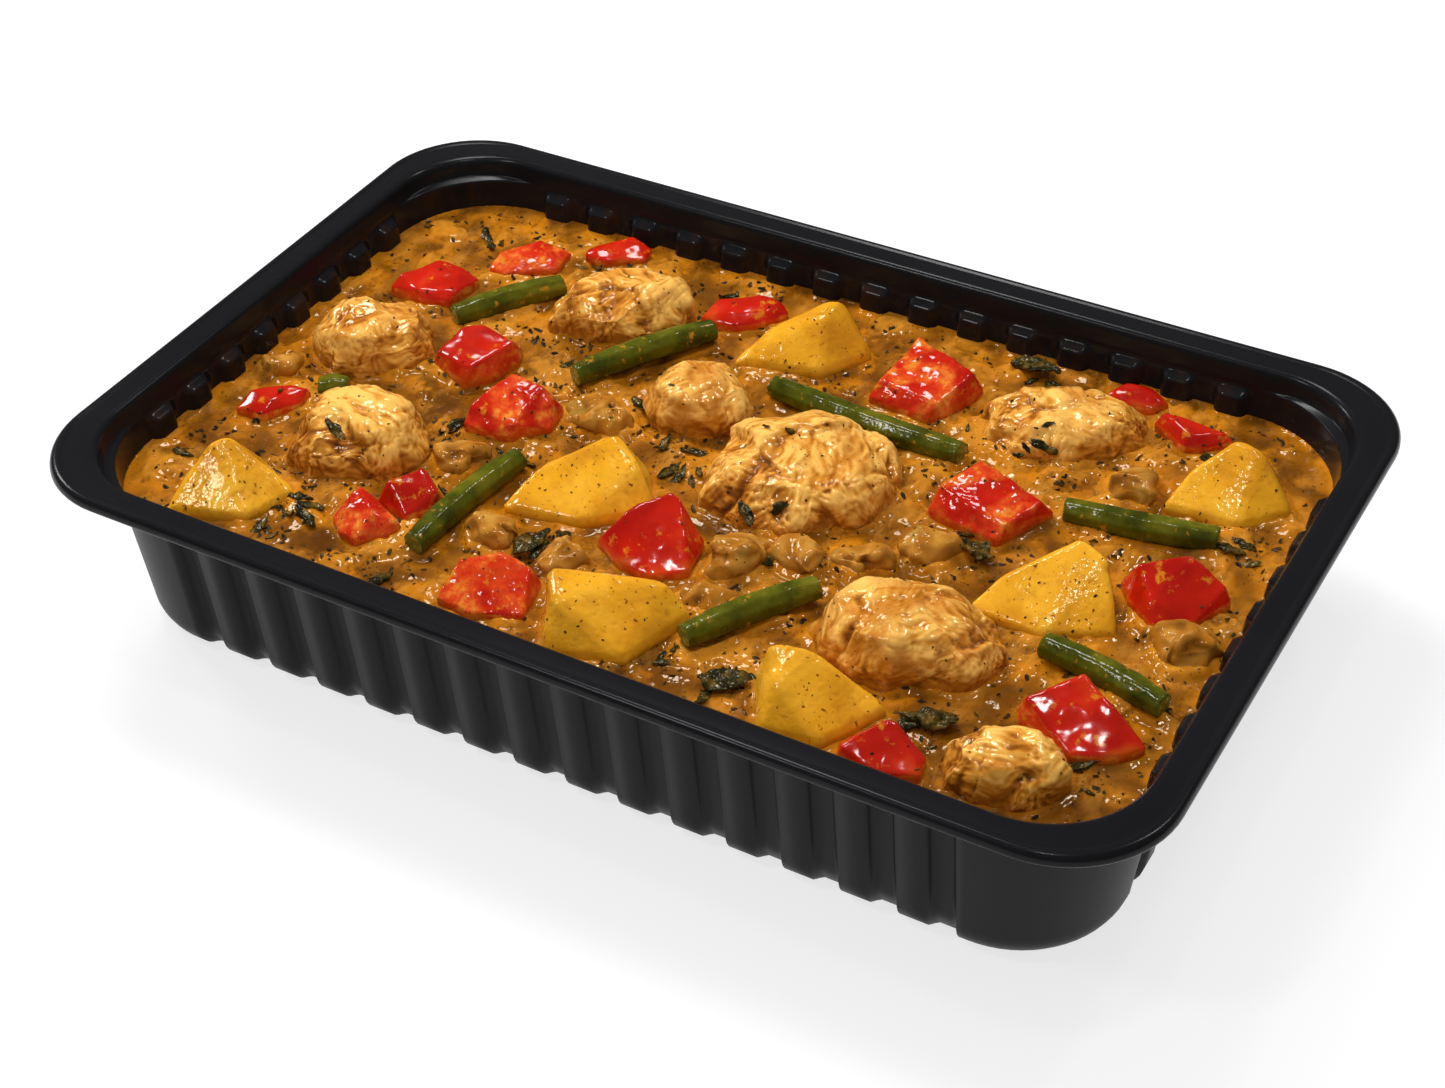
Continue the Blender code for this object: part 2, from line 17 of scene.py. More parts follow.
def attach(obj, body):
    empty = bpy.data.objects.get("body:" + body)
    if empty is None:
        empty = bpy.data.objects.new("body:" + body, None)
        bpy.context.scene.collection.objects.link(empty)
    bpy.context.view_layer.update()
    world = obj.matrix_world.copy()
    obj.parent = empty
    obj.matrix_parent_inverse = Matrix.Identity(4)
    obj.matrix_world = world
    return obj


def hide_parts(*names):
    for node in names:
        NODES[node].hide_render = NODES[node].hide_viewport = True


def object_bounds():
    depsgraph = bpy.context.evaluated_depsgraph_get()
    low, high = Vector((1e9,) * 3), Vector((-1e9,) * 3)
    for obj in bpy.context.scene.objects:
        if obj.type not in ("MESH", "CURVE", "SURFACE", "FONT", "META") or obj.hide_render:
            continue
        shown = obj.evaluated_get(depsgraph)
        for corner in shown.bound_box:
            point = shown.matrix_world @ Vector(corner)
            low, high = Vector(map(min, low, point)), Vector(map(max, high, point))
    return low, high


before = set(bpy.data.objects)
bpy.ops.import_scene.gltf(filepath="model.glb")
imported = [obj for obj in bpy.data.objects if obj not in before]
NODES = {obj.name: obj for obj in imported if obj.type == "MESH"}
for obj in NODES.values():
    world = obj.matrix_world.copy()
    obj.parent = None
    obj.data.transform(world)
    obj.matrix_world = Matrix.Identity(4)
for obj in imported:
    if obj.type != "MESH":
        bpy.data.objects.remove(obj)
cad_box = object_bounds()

MM = 0.001
SCENE = bpy.context.scene

# The tray's own measures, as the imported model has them
TRAY_LENGTH, TRAY_WIDTH, TRAY_HEIGHT = ((cad_box[1] - cad_box[0]) / MM).to_tuple(3)
RIM_RADIUS = 27.0
SHEET = 0.8
WALL_INSET = 9.2
WALL_DRAFT = 0.113
BAND_DEPTH = 5.2
BAND_RADIUS = 24.0
LEDGE_DROP = 0.5
LOWER_RADIUS_TOP = 30.0
LOWER_RADIUS_FOOT = 26.0
FOOT_RADIUS = 9.0
GROOVE_PITCH = 14.2
GROOVES_LONG = 15
GROOVES_SHORT = 8
GROOVE_TOP = 6.4
GROOVE_SLOPE = 2.2
GROOVE_DEPTH = 2.5
GROOVE_EDGE = 0.9
PAD_MOUTH = 8.4

# The sauce's level and slow swells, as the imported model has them
SAUCE_DROP = 13.6
SWELL = 1.2
SWELL_SIZE = 17.0

# The camera of the photograph: place over the tray's underside, aim and lens
CAMERA_PLACE = (243.99, -426.93, 411.69)
CAMERA_TURN = 31.914
CAMERA_DIP = 39.973
CAMERA_ROLL = 2.332
CAMERA_LENS = 62.6
CAMERA_SHIFT = (0.0502, 0.0388)

# The kinds of food: their piece's name, how many, millimetres a cell of mesh, and rounds of smoothing
FOOD = {
    "chicken": ("chicken_chunk", 8, 0.46, 9),
    "potato": ("potato_wedge", 7, 0.45, 2),
    "pepper": ("pepper_piece", 18, 0.42, 3),
    "bean": ("bean_cut", 8, 0.40, 6),
    "onion": ("onion_lump", 12, 0.45, 6),
    "leaf": ("leaf_wilted", 5, 0.30, 2),
}
CHICKEN_LOBES = (7, 6, 6, 5, 11, 9, 9, 7)
CHICKEN_TOAST = (0.45, 0.35, 0.15, 0.75, 0.3, 0.55, 0.8, 0.25)
PEPPER_FLESH_UP = (2, 5, 8, 11, 15, 16)
SEED_SPACING = 7.5
RIM_CLEARANCE = 1.2
RIM_EASE = 0.9

# The sauce's skin: its grid, how far it goes into the wall, and its hidden foot
SAUCE_PITCH = 0.7
SAUCE_MARGIN = 8
SAUCE_HIDDEN = 0.35
SAUCE_FOOT = 5.0
FOOT_SHRINK = (0.979, 0.966)
FOOD_REACH = 5.0

# Where wilted leaf gathers, in the sauce and on the food, in millimetres from the tray's middle
CLUMPS_SAUCE = ((-86, -69), (-84, -62), (-51, -72), (-25, -43), (-47, -19), (-15, 4), (-9, -3),
                (63, 4), (123, 30), (22, -68), (38, -65), (82, -57), (2, 79), (-66, -18), (122, -56),
                (104, 83), (-110, 64), (116, 16), (59, 71))
CLUMPS_FOOD = ((21, -11), (9, 10), (60, -21), (66, -21), (64, 39), (-84, 49), (-110, -29))
WALL_CLEARANCE = (5.0, 7.5)

# Scattered bits: where they may lie, how many a square metre, the smallest and largest in millimetres,
# their tilt in radians, their lift in metres and their seed
SEED = 11
SCATTER_INPUTS = ("Where", "Per Square Metre", "Smallest", "Largest", "Tilt", "Lift", "Seed")
FLAKES_IN_SAUCE = ("open", 60000.0, 0.35, 2.1, 0.5, 0.0001, SEED)
FLECKS_ON_FOOD = ("open", 18000.0, 0.3, 1.1, 0.3, 0.00005, SEED + 1)
SCRAPS_IN_SAUCE = ("herby", 52000.0, 1.6, 6.5, 0.30, 0.0001, SEED + 2)
SCRAPS_ON_FOOD = ("spots", 45000.0, 1.6, 6.0, 0.25, 0.0001, SEED + 3)

# Wet food: how it bends light, and the gold in its gleam
WET_IOR = 1.40
WET_GLEAM = (1.0, 0.84, 0.60, 1.0)

# Lamps: place in metres, width in metres, watts, and whether reflections show it
LAMPS = (
    ("key", (-0.60, 0.40, 0.85), 0.35, 6.8, False),
    ("overhead", (0.10, 0.00, 1.1), 0.9, 2.6, False),
    ("front", (0.45, -0.80, 0.80), 0.6, 2.4, False),
    ("window", (-0.32, 0.34, 1.0), 0.22, 3.0, True),
    ("window_front", (-0.35, -0.50, 0.90), 0.15, 1.7, True),
    ("glint", (0.30, 0.50, 0.90), 0.11, 1.3, True),
    ("side", (-0.85, 0.15, 0.60), 0.18, 2.2, True),
    ("glint_top", (0.10, -0.10, 1.1), 0.08, 0.9, True),
)
LAMP_AIM = (0, 0, 0.04)
WORLD_LIGHT = 0.11
FLOOR_HALF = 4000
FLOOR_GREY = 0.30
FLOOR_GLOW = 0.72


# Numbers and noise

def smoothstep(low, high, x):
    t = np.clip((x - low) / (high - low), 0.0, 1.0)
    return t * t * (3 - 2 * t)


def edge_gradients():
    """The twelve directions to a cube's edges, and four of them again."""
    found = [d for d in itertools.product((-1, 0, 1), repeat=3) if sum(map(abs, d)) == 2]
    return np.array(found + found[:4], float)


GRADIENTS = edge_gradients()


def lumps(points, size, seed=0):
    """Smooth noise between about -1 and 1, one lump every size; points is an (n, 3) array."""
    p = np.asarray(points) / size + 17.13 * (seed + 1)
    cell = np.floor(p).astype(np.int64)
    part = p - cell
    fade = part * part * part * (part * (6 * part - 15) + 10)
    total = np.zeros(len(p))
    for corner in itertools.product((0, 1), repeat=3):
        c = cell + corner
        h = (c[:, 0] * 73856093 ^ c[:, 1] * 19349663 ^ c[:, 2] * 83492791) & 0xFFFFFFFF
        h = (h ^ (h >> 15)) * 2246822519 & 0xFFFFFFFF
        h = (h ^ (h >> 13)) * 3266489917 & 0xFFFFFFFF
        slope = GRADIENTS[(h >> 16) & 15]
        weight = np.prod(np.where(corner, fade, 1 - fade), axis=1)
        total += weight * (slope * (part - corner)).sum(1)
    return total * 1.3


def fine_lumps(points, size, octaves, seed=0):
    """Noise with smaller and smaller lumps on the large ones."""
    total = 0.0
    for i in range(octaves):
        total = total + lumps(points, size / 2 ** i, seed + i) / 2 ** i
    return total / 1.6


# Meshes

def add_mesh(name, verts, faces, smooth=True):
    """A new object from points in millimetres."""
    mesh = bpy.data.meshes.new(name)
    mesh.from_pydata((np.asarray(verts) * MM).tolist(), [], [list(f) for f in faces])
    mesh.update()
    if smooth:
        mesh.shade_smooth()
    obj = bpy.data.objects.new(name, mesh)
    SCENE.collection.objects.link(obj)
    return obj


def baked(obj):
    """Puts the result of an object's modifiers in its own mesh."""
    mesh = bpy.data.meshes.new_from_object(obj.evaluated_get(bpy.context.evaluated_depsgraph_get()))
    obj.modifiers.clear()
    obj.data = mesh
    mesh.name = obj.name
    return obj


def places(obj):
    """An object's points in millimetres."""
    flat = np.empty(len(obj.data.vertices) * 3)
    obj.data.vertices.foreach_get("co", flat)
    return flat.reshape(-1, 3) / MM


def set_places(obj, points):
    obj.data.vertices.foreach_set("co", (points * MM).ravel())
    obj.data.update()


def normals(obj):
    flat = np.empty(len(obj.data.vertices) * 3, np.float32)
    obj.data.vertex_normals.foreach_get("vector", flat)
    return flat.reshape(-1, 3).astype(float)


def set_attribute(obj, name, values):
    layer = obj.data.attributes.new(name, "FLOAT", "POINT")
    layer.data.foreach_set("value", np.asarray(values, np.float32))


def fine_copy(kind, number):
    """A finely meshed copy of a node's solid, its facets rounded off."""
    name, _, grain, rounding = FOOD[kind]
    mesh = NODES[f"{kind}_{number}"].data.copy()
    mesh.materials.clear()
    bm = bmesh.new()
    bm.from_mesh(mesh)
    bmesh.ops.remove_doubles(bm, verts=bm.verts, dist=0.001 * MM)
    bm.to_mesh(mesh)
    bm.free()
    piece = bpy.data.objects.new(f"{name}_{number}", mesh)
    SCENE.collection.objects.link(piece)
    remesh = piece.modifiers.new("remesh", "REMESH")
    remesh.mode = "VOXEL"
    remesh.voxel_size = grain * MM
    rounder = piece.modifiers.new("round", "SMOOTH")
    rounder.factor = 0.5
    rounder.iterations = rounding
    baked(piece)
    piece.data.shade_smooth()
    return piece


# Tray

def wall_inset(depth, outer=False):
    return WALL_INSET + WALL_DRAFT * depth - (SHEET if outer else 0.0)


def lower_radius(depth):
    foot = TRAY_HEIGHT - FOOT_RADIUS
    share = (depth - BAND_DEPTH) / (foot - BAND_DEPTH)
    return LOWER_RADIUS_TOP + (LOWER_RADIUS_FOOT - LOWER_RADIUS_TOP) * share


def groove_share(along, count, mouth):
    """How far a wall's groove stands in at a place along the wall, between 0 and 1."""
    middle = (count - 1) / 2
    nearest = np.clip(np.round(np.asarray(along) / GROOVE_PITCH + middle), 0, count - 1) - middle
    away = np.abs(along - nearest * GROOVE_PITCH)
    return smoothstep(mouth / 2 + 0.15, mouth / 2 - GROOVE_EDGE - 0.15, away)


def tray_ring(inset, z, radius, stand_in=0.0, mouth=PAD_MOUTH, corner_steps=16, groove_steps=11):
    """Points round the tray: rounded corners and straights with a groove's steps."""
    half = (TRAY_LENGTH / 2 - inset, TRAY_WIDTH / 2 - inset)
    points = []
    for side in range(4):
        across, along = half[side % 2], half[1 - side % 2]
        count = GROOVES_SHORT if side % 2 == 0 else GROOVES_LONG
        middles = (np.arange(count) - (count - 1) / 2) * GROOVE_PITCH
        steps = np.linspace(-mouth / 2 - 0.25, mouth / 2 + 0.25, groove_steps)
        run = (middles[:, None] + steps[None]).ravel()
        wall = np.stack([across - stand_in * groove_share(run, count, mouth), run], 1)
        turns = np.linspace(0, math.pi / 2, corner_steps + 1)
        bend = np.stack([across - radius + radius * np.cos(turns),
                         along - radius + radius * np.sin(turns)], 1)
        c, s = round(math.cos(side * math.pi / 2)), round(math.sin(side * math.pi / 2))
        both = np.concatenate([wall, bend])
        points.append(np.stack([c * both[:, 0] - s * both[:, 1], s * both[:, 0] + c * both[:, 1]], 1))
    flat = np.concatenate(points)
    return np.column_stack([flat, np.full(len(flat), z)])


def wall_rings(outer):
    """Rings of one face of the tray, from its floor up to the band under the rim."""
    mouth = PAD_MOUTH - (1.4 if outer else 0.0)
    skin = SHEET if outer else 0.0
    foot = TRAY_HEIGHT - FOOT_RADIUS
    floor = 0.0 if outer else SHEET
    inset, radius = wall_inset(foot, outer), lower_radius(foot) + skin
    rings = []
    for turn in np.linspace(90, 0, 9):
        a = math.radians(turn)
        sink = FOOT_RADIUS * (1 - math.cos(a))
        share = float(smoothstep(90, 30, turn))
        height = floor + (FOOT_RADIUS - floor) * (1 - math.sin(a))
        rings.append(tray_ring(inset + sink, height, radius - sink, GROOVE_DEPTH * share, mouth))
    for depth in np.linspace(foot - 8, GROOVE_TOP + GROOVE_SLOPE + 0.3, 4):
        rings.append(tray_ring(wall_inset(depth, outer), TRAY_HEIGHT - depth, lower_radius(depth) + skin,
                               GROOVE_DEPTH, mouth))
    for slope in np.linspace(1, 0, 7):
        depth = GROOVE_TOP + GROOVE_SLOPE * slope
        share = float(smoothstep(0, 1, slope))
        rings.append(tray_ring(wall_inset(depth, outer), TRAY_HEIGHT - depth, lower_radius(depth) + skin,
                               GROOVE_DEPTH * share, mouth))
    ledge = BAND_DEPTH + LEDGE_DROP
    steps = ((ledge + 0.25, 1.0), (ledge + 0.05, 0.94), (ledge - 0.1, 0.8), (BAND_DEPTH + 0.1, 0.2),
             (BAND_DEPTH - 0.05, 0.06), (BAND_DEPTH - 0.25, 0.0))
    for depth, share in steps:
        radius = BAND_RADIUS + (lower_radius(ledge) - BAND_RADIUS) * share + skin
        rings.append(tray_ring(wall_inset(depth, outer), TRAY_HEIGHT - depth, radius))
    return rings


def rim_rings():
    """Rings over the rim: up the outside of the band, round the skirt and bead, and in over the flat."""
    section = [
        (WALL_INSET - SHEET, 2.9), (WALL_INSET - 1.0, 2.0), (WALL_INSET - 1.7, 1.35), (5.0, 1.15),
        (1.8, 1.2), (1.35, 1.35), (1.15, 1.7), (1.0, 2.6), (0.8, 2.68), (0.35, 2.68), (0.12, 2.6),
        (0.0, 2.3), (0.05, 1.7), (0.2, 1.1), (0.42, 0.65), (0.75, 0.28), (1.15, 0.07), (1.6, 0.0),
        (2.05, 0.08), (2.4, 0.27), (2.75, 0.38), (3.3, 0.36), (4.2, 0.33), (6.8, 0.3), (7.5, 0.34),
        (8.05, 0.52), (8.5, 0.88), (8.85, 1.4), (9.05, 2.1), (9.2, 3.0),
    ]
    inner_edge = 7.2
    rings = []
    for inset, drop in section:
        share = min(inset / inner_edge, 1.0)
        radius = RIM_RADIUS + (BAND_RADIUS + 1.0 - RIM_RADIUS) * share
        rings.append(tray_ring(inset, TRAY_HEIGHT - drop, radius))
    return rings


def loft(name, rings, low_centre, high_centre):
    """A closed skin over rings of points, ended by a fan at each of two centres."""
    count = len(rings[0])
    verts = np.concatenate(rings + [np.array([low_centre, high_centre])])
    faces = []
    for r in range(len(rings) - 1):
        for i in range(count):
            j = (i + 1) % count
            faces.append((r * count + i, r * count + j, (r + 1) * count + j, (r + 1) * count + i))
    low, high = len(verts) - 2, len(verts) - 1
    last = (len(rings) - 1) * count
    for i in range(count):
        j = (i + 1) % count
        faces.append((j, i, low))
        faces.append((last + i, last + j, high))
    return add_mesh(name, verts, faces)


def make_tray():
    """The tray's shell: its outside, its rim and its inside, which is marked for the finish."""
    over = wall_rings(True) + rim_rings()
    tray = loft("tray_shell", over + wall_rings(False)[::-1], (0, 0, 0), (0, 0, SHEET))
    inner = np.zeros(len(tray.data.vertices))
    inner[(len(over) + 6) * len(over[0]):] = 1.0
    set_attribute(tray, "inner", inner)
    return tray


# Food pieces

def grain_frame(points, turn, long, narrow):
    """Points in stretched axes, so that noise on them runs along the grain."""
    c, s = math.cos(turn), math.sin(turn)
    x, y, z = points.T
    return np.stack([(c * x + s * y) / long, (-s * x + c * y) / narrow, z / narrow], 1)


def keep_under_rim(points):
    """Presses whatever stands too high back under the rim."""
    limit = TRAY_HEIGHT - RIM_CLEARANCE
    high = points[:, 2] > limit
    points[high, 2] = limit + RIM_EASE * np.tanh((points[high, 2] - limit) / RIM_EASE)
    return points


def carve(piece, depth):
    """Moves each point out along its normal by its own depth."""
    points = places(piece) + normals(piece) * depth[:, None]
    set_places(piece, keep_under_rim(points))


def nearness(x, y, middles, reach):
    """A bell of a reach round each of some places, summed."""
    return sum(np.exp(-((x - a) ** 2 + (y - b) ** 2) / reach ** 2) for a, b in middles)


def film(points, seed, height):
    """How much sauce clings to each point: most at the sauce's level, then in uneven tongues."""
    over = points[:, 2] - (TRAY_HEIGHT - SAUCE_DROP) - 0.6
    return smoothstep(1.0, 0.0, over / height + 0.9 * lumps(points, 6.0, seed + 15) + 0.35)


def lobes(points, count, seed):
    """Splits a piece into lobes: each point's own lobe, the nearness of the next, and smooth shares."""
    rng = np.random.default_rng(seed)
    centres = points[rng.choice(len(points), count, replace=False)]
    wander = 3.0 * np.stack([lumps(points, 10.0, seed + k) for k in range(3)], 1)
    away = np.linalg.norm((points + wander)[:, None] - centres[None], axis=2)
    order = np.sort(away, axis=1)
    share = np.exp(-((away - order[:, :1]) / 1.3) ** 2)
    share /= share.sum(1, keepdims=True)
    return away.argmin(1), order[:, 1] - order[:, 0], share @ rng.uniform(-1, 1, count)


def make_chicken(number):
    """Cooked chicken: lobes that meet in creases, each with fibres along its own grain."""
    piece = fine_copy("chicken", number)
    seed = 31 * number
    points = places(piece)
    count = CHICKEN_LOBES[number - 1]
    lobe, seam, level = lobes(points, count, seed)
    crease = np.exp(-(seam / 1.6) ** 2) * smoothstep(-0.2, 0.45, lumps(points, 12.0, seed + 3))
    _, plate_seam, plate_level = lobes(points, 7 * count, seed + 12)
    plate_seam = np.exp(-(plate_seam / 0.8) ** 2) * smoothstep(-0.2, 0.4, lumps(points, 8.0, seed + 13))
    swell = lumps(points, 8.0, seed + 4)
    swirl = points + 2.2 * np.stack([lumps(points, 7.0, seed + k) for k in (5, 6, 7)], 1)
    fibres = np.zeros(len(points))
    strands = np.zeros(len(points))
    for k in range(count):
        own = lobe == k
        grain = grain_frame(swirl[own], 2.4 * k + number, 7.0, 0.95)
        fibres[own] = lumps(grain, 1.0, seed + 8)
        strands[own] = 1 - 2 * np.abs(lumps(grain, 2.6, seed + 9))
    torn = smoothstep(-0.35, 0.25, lumps(points, 10.0, seed + 10))
    grit = lumps(points, 1.3, seed + 11)
    knobs = lumps(points, 3.6, seed + 14)
    depth = 1.3 * level - 0.9 * crease + 0.6 * swell + 0.22 * plate_level - 0.26 * plate_seam + 0.18 * knobs
    depth += (0.08 + 0.14 * torn) * fibres + 0.14 * torn * strands + 0.05 * grit
    carve(piece, depth)
    # Painted shade and highlight: this colour value drops in creases, plate seams and low down near the
    # sauce, and rises on swells and knobs; fibres and strands add real grain
    low = smoothstep(7.0, 0.0, points[:, 2] - (TRAY_HEIGHT - SAUCE_DROP))
    ridge = 0.62 + 0.14 * swell + 0.08 * level + 0.12 * strands + 0.26 * fibres
    ridge += 0.08 * plate_level + 0.12 * knobs - 0.36 * crease - 0.24 * plate_seam - 0.22 * low
    set_attribute(piece, "ridge", ridge)
    set_attribute(piece, "toast", np.full(len(points), CHICKEN_TOAST[number - 1]))
    set_attribute(piece, "film", film(points, seed, 4.5))
    return piece


def make_potato(number):
    """Cut potato: flat faces with a faint saw of the knife, small pits and crisp edges."""
    piece = fine_copy("potato", number)
    seed = 17 * number + 400
    points = places(piece)
    waves = lumps(points, 8.0, seed)
    knife = lumps(grain_frame(points, 0.9 * number, 9.0, 1.1), 1.0, seed + 1)
    pits = np.maximum(lumps(points, 1.5, seed + 2) - 0.35, 0.0)
    depth = 0.30 + 0.20 * waves + 0.03 * knife - 0.16 * pits
    carve(piece, depth)
    # Painted shade: this colour value drops in the pits, which the finish darkens; waves and knife marks
    # add real tone
    set_attribute(piece, "ridge", 0.5 + 0.3 * waves + 0.08 * knife - 0.5 * pits)
    set_attribute(piece, "film", film(points, seed, 3.5))
    return piece


def make_pepper(number):
    """Red pepper: a smooth taut skin with cut sides, or laid with its mottled flesh up."""
    piece = fine_copy("pepper", number)
    seed = 13 * number + 800
    points = places(piece)
    waves = lumps(points, 11.0, seed)
    dents = lumps(points, 4.5, seed + 1)
    upright = 1 - smoothstep(0.30, 0.55, normals(piece)[:, 2])
    turned = 1.0 if number in PEPPER_FLESH_UP else 0.0
    flesh = np.maximum(upright, turned * smoothstep(-0.25, 0.25, lumps(points, 8.0, seed + 2)))
    rough = 0.35 * lumps(points, 2.6, seed + 3) + 0.20 * lumps(points, 1.1, seed + 4)
    depth = 0.30 + 0.50 * waves + 0.16 * dents
    carve(piece, depth + 0.45 * turned * rough * (1 - upright) + 0.12 * upright * rough)
    set_attribute(piece, "film", film(points, seed, 2.5))
    set_attribute(piece, "flesh", flesh)
    return piece


def make_onion(number):
    """A small piece of onion or other vegetable, uneven under its coat of sauce."""
    piece = fine_copy("onion", number)
    seed = 19 * number + 1200
    points = places(piece)
    sway = np.stack([lumps(points, 8.0, seed + k) for k in (6, 7)] + [np.zeros(len(points))], 1)
    set_places(piece, points + 3.0 * sway)
    curl = 1 - 2 * np.abs(lumps(points, 4.0, seed + 3))
    depth = 0.8 + 1.1 * lumps(points, 6.0, seed + 4) + 0.5 * curl + 0.22 * lumps(points, 2.2, seed + 5)
    carve(piece, depth)
    # Painted shade: this colour value drops in the grooves between the curls, which the finish darkens; the
    # other lumps are random tone
    set_attribute(piece, "ridge", 0.45 + 0.3 * lumps(points, 3.0, seed + 8) + 0.25 * curl)
    return piece


def make_bean(number):
    """A cut bean: a slim pod with faint swells over its seeds and blunt ends."""
    piece = fine_copy("bean", number)
    seed = 23 * number + 1500
    points = places(piece)
    centre = points.mean(0)
    along = np.linalg.svd((points - centre)[::7], full_matrices=False)[2][0]
    reach = (points - centre) @ along
    facing = np.abs(normals(piece) @ along)
    end = smoothstep(0.55, 0.85, facing) * smoothstep(0.86, 0.97, np.abs(reach) / np.abs(reach).max())
    seeds = np.cos(reach * 2 * math.pi / SEED_SPACING)
    depth = 0.03 * seeds + 0.12 * lumps(points, 5.0, seed) + 0.20 * (1 - end)
    carve(piece, depth - 0.25 * end * smoothstep(0.2, 0.6, lumps(points, 1.6, seed + 1) + 0.4))
    set_attribute(piece, "flesh", end)
    return piece


def make_leaf(number):
    """A wilted leaf, crumpled up and down and drawn askew."""
    piece = fine_copy("leaf", number)
    seed = 29 * number + 1800
    points = places(piece)
    points[:, 2] += 1.1 * lumps(points, 3.4, seed) + 0.45 * lumps(points, 1.5, seed + 1)
    points[:, :2] += 0.9 * np.stack([lumps(points, 3.0, seed + k) for k in (2, 3)], 1)
    set_places(piece, points)
    return piece


# Sauce

def sauce_level(x, y):
    """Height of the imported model's sauce over the table: nearly level, with slow swells."""
    swell = noise.noise(Vector((x / SWELL_SIZE, y / SWELL_SIZE, 3.7)))
    fine = noise.noise(Vector((x / 7.0, y / 7.0, 9.1)))
    edge_x = 1.0 - (abs(x) / (TRAY_LENGTH / 2 - 12)) ** 6
    edge_y = 1.0 - (abs(y) / (TRAY_WIDTH / 2 - 12)) ** 6
    middle = max(min(edge_x, edge_y), 0.0)
    return TRAY_HEIGHT - SAUCE_DROP + middle * (0.3 + SWELL * swell + 0.4 * fine)


def shore(x, y):
    """How far a place is inside the tray's wall at the sauce's level, and the way out."""
    inset, radius = wall_inset(SAUCE_DROP), lower_radius(SAUCE_DROP)
    qx = np.abs(x) - (TRAY_LENGTH / 2 - inset - radius)
    qy = np.abs(y) - (TRAY_WIDTH / 2 - inset - radius)
    ox, oy = np.maximum(qx, 0), np.maximum(qy, 0)
    reach = np.hypot(ox, oy)
    in_corner = reach > 1e-6
    long_side = qy > qx
    away_x = np.where(in_corner, ox / np.maximum(reach, 1e-6), np.where(long_side, 0.0, 1.0)) * np.sign(x)
    away_y = np.where(in_corner, oy / np.maximum(reach, 1e-6), np.where(long_side, 1.0, 0.0)) * np.sign(y)
    distance = radius - reach - np.minimum(np.maximum(qx, qy), 0)
    pad = np.where(qy > 0, groove_share(x, GROOVES_LONG, PAD_MOUTH), 0) * (qx < 0)
    pad = pad + np.where(qx > 0, groove_share(y, GROOVES_SHORT, PAD_MOUTH), 0) * (qy < 0)
    return distance - GROOVE_DEPTH * pad, away_x, away_y


def spread(covered, pitch, reach):
    """Distance of each place of a grid to the nearest covered one, up to a reach."""
    far = np.where(covered, 0.0, 9.0)
    for _ in range(int(reach / pitch) + 1):
        wide = np.pad(far, 1, mode="edge")
        for i, j in itertools.product((0, 1, 2), repeat=2):
            step = pitch * math.hypot(i - 1, j - 1)
            far = np.minimum(far, wide[i:i + far.shape[0], j:j + far.shape[1]] + step)
    return far


def cover(pieces, x, y, level, bare, shape):
    """Which places of the grid lie under these pieces, and how far each place is from them."""
    tree = food_tree(pieces)
    tops = np.full(len(x), -1.0)
    for i in bare:
        hit = tree.ray_cast(Vector((x[i], y[i], 70.0)), Vector((0, 0, -1)))[0]
        if hit:
            tops[i] = hit.z
    covered = tops > level + 0.1
    return covered, spread(covered.reshape(shape), SAUCE_PITCH, FOOD_REACH).ravel()


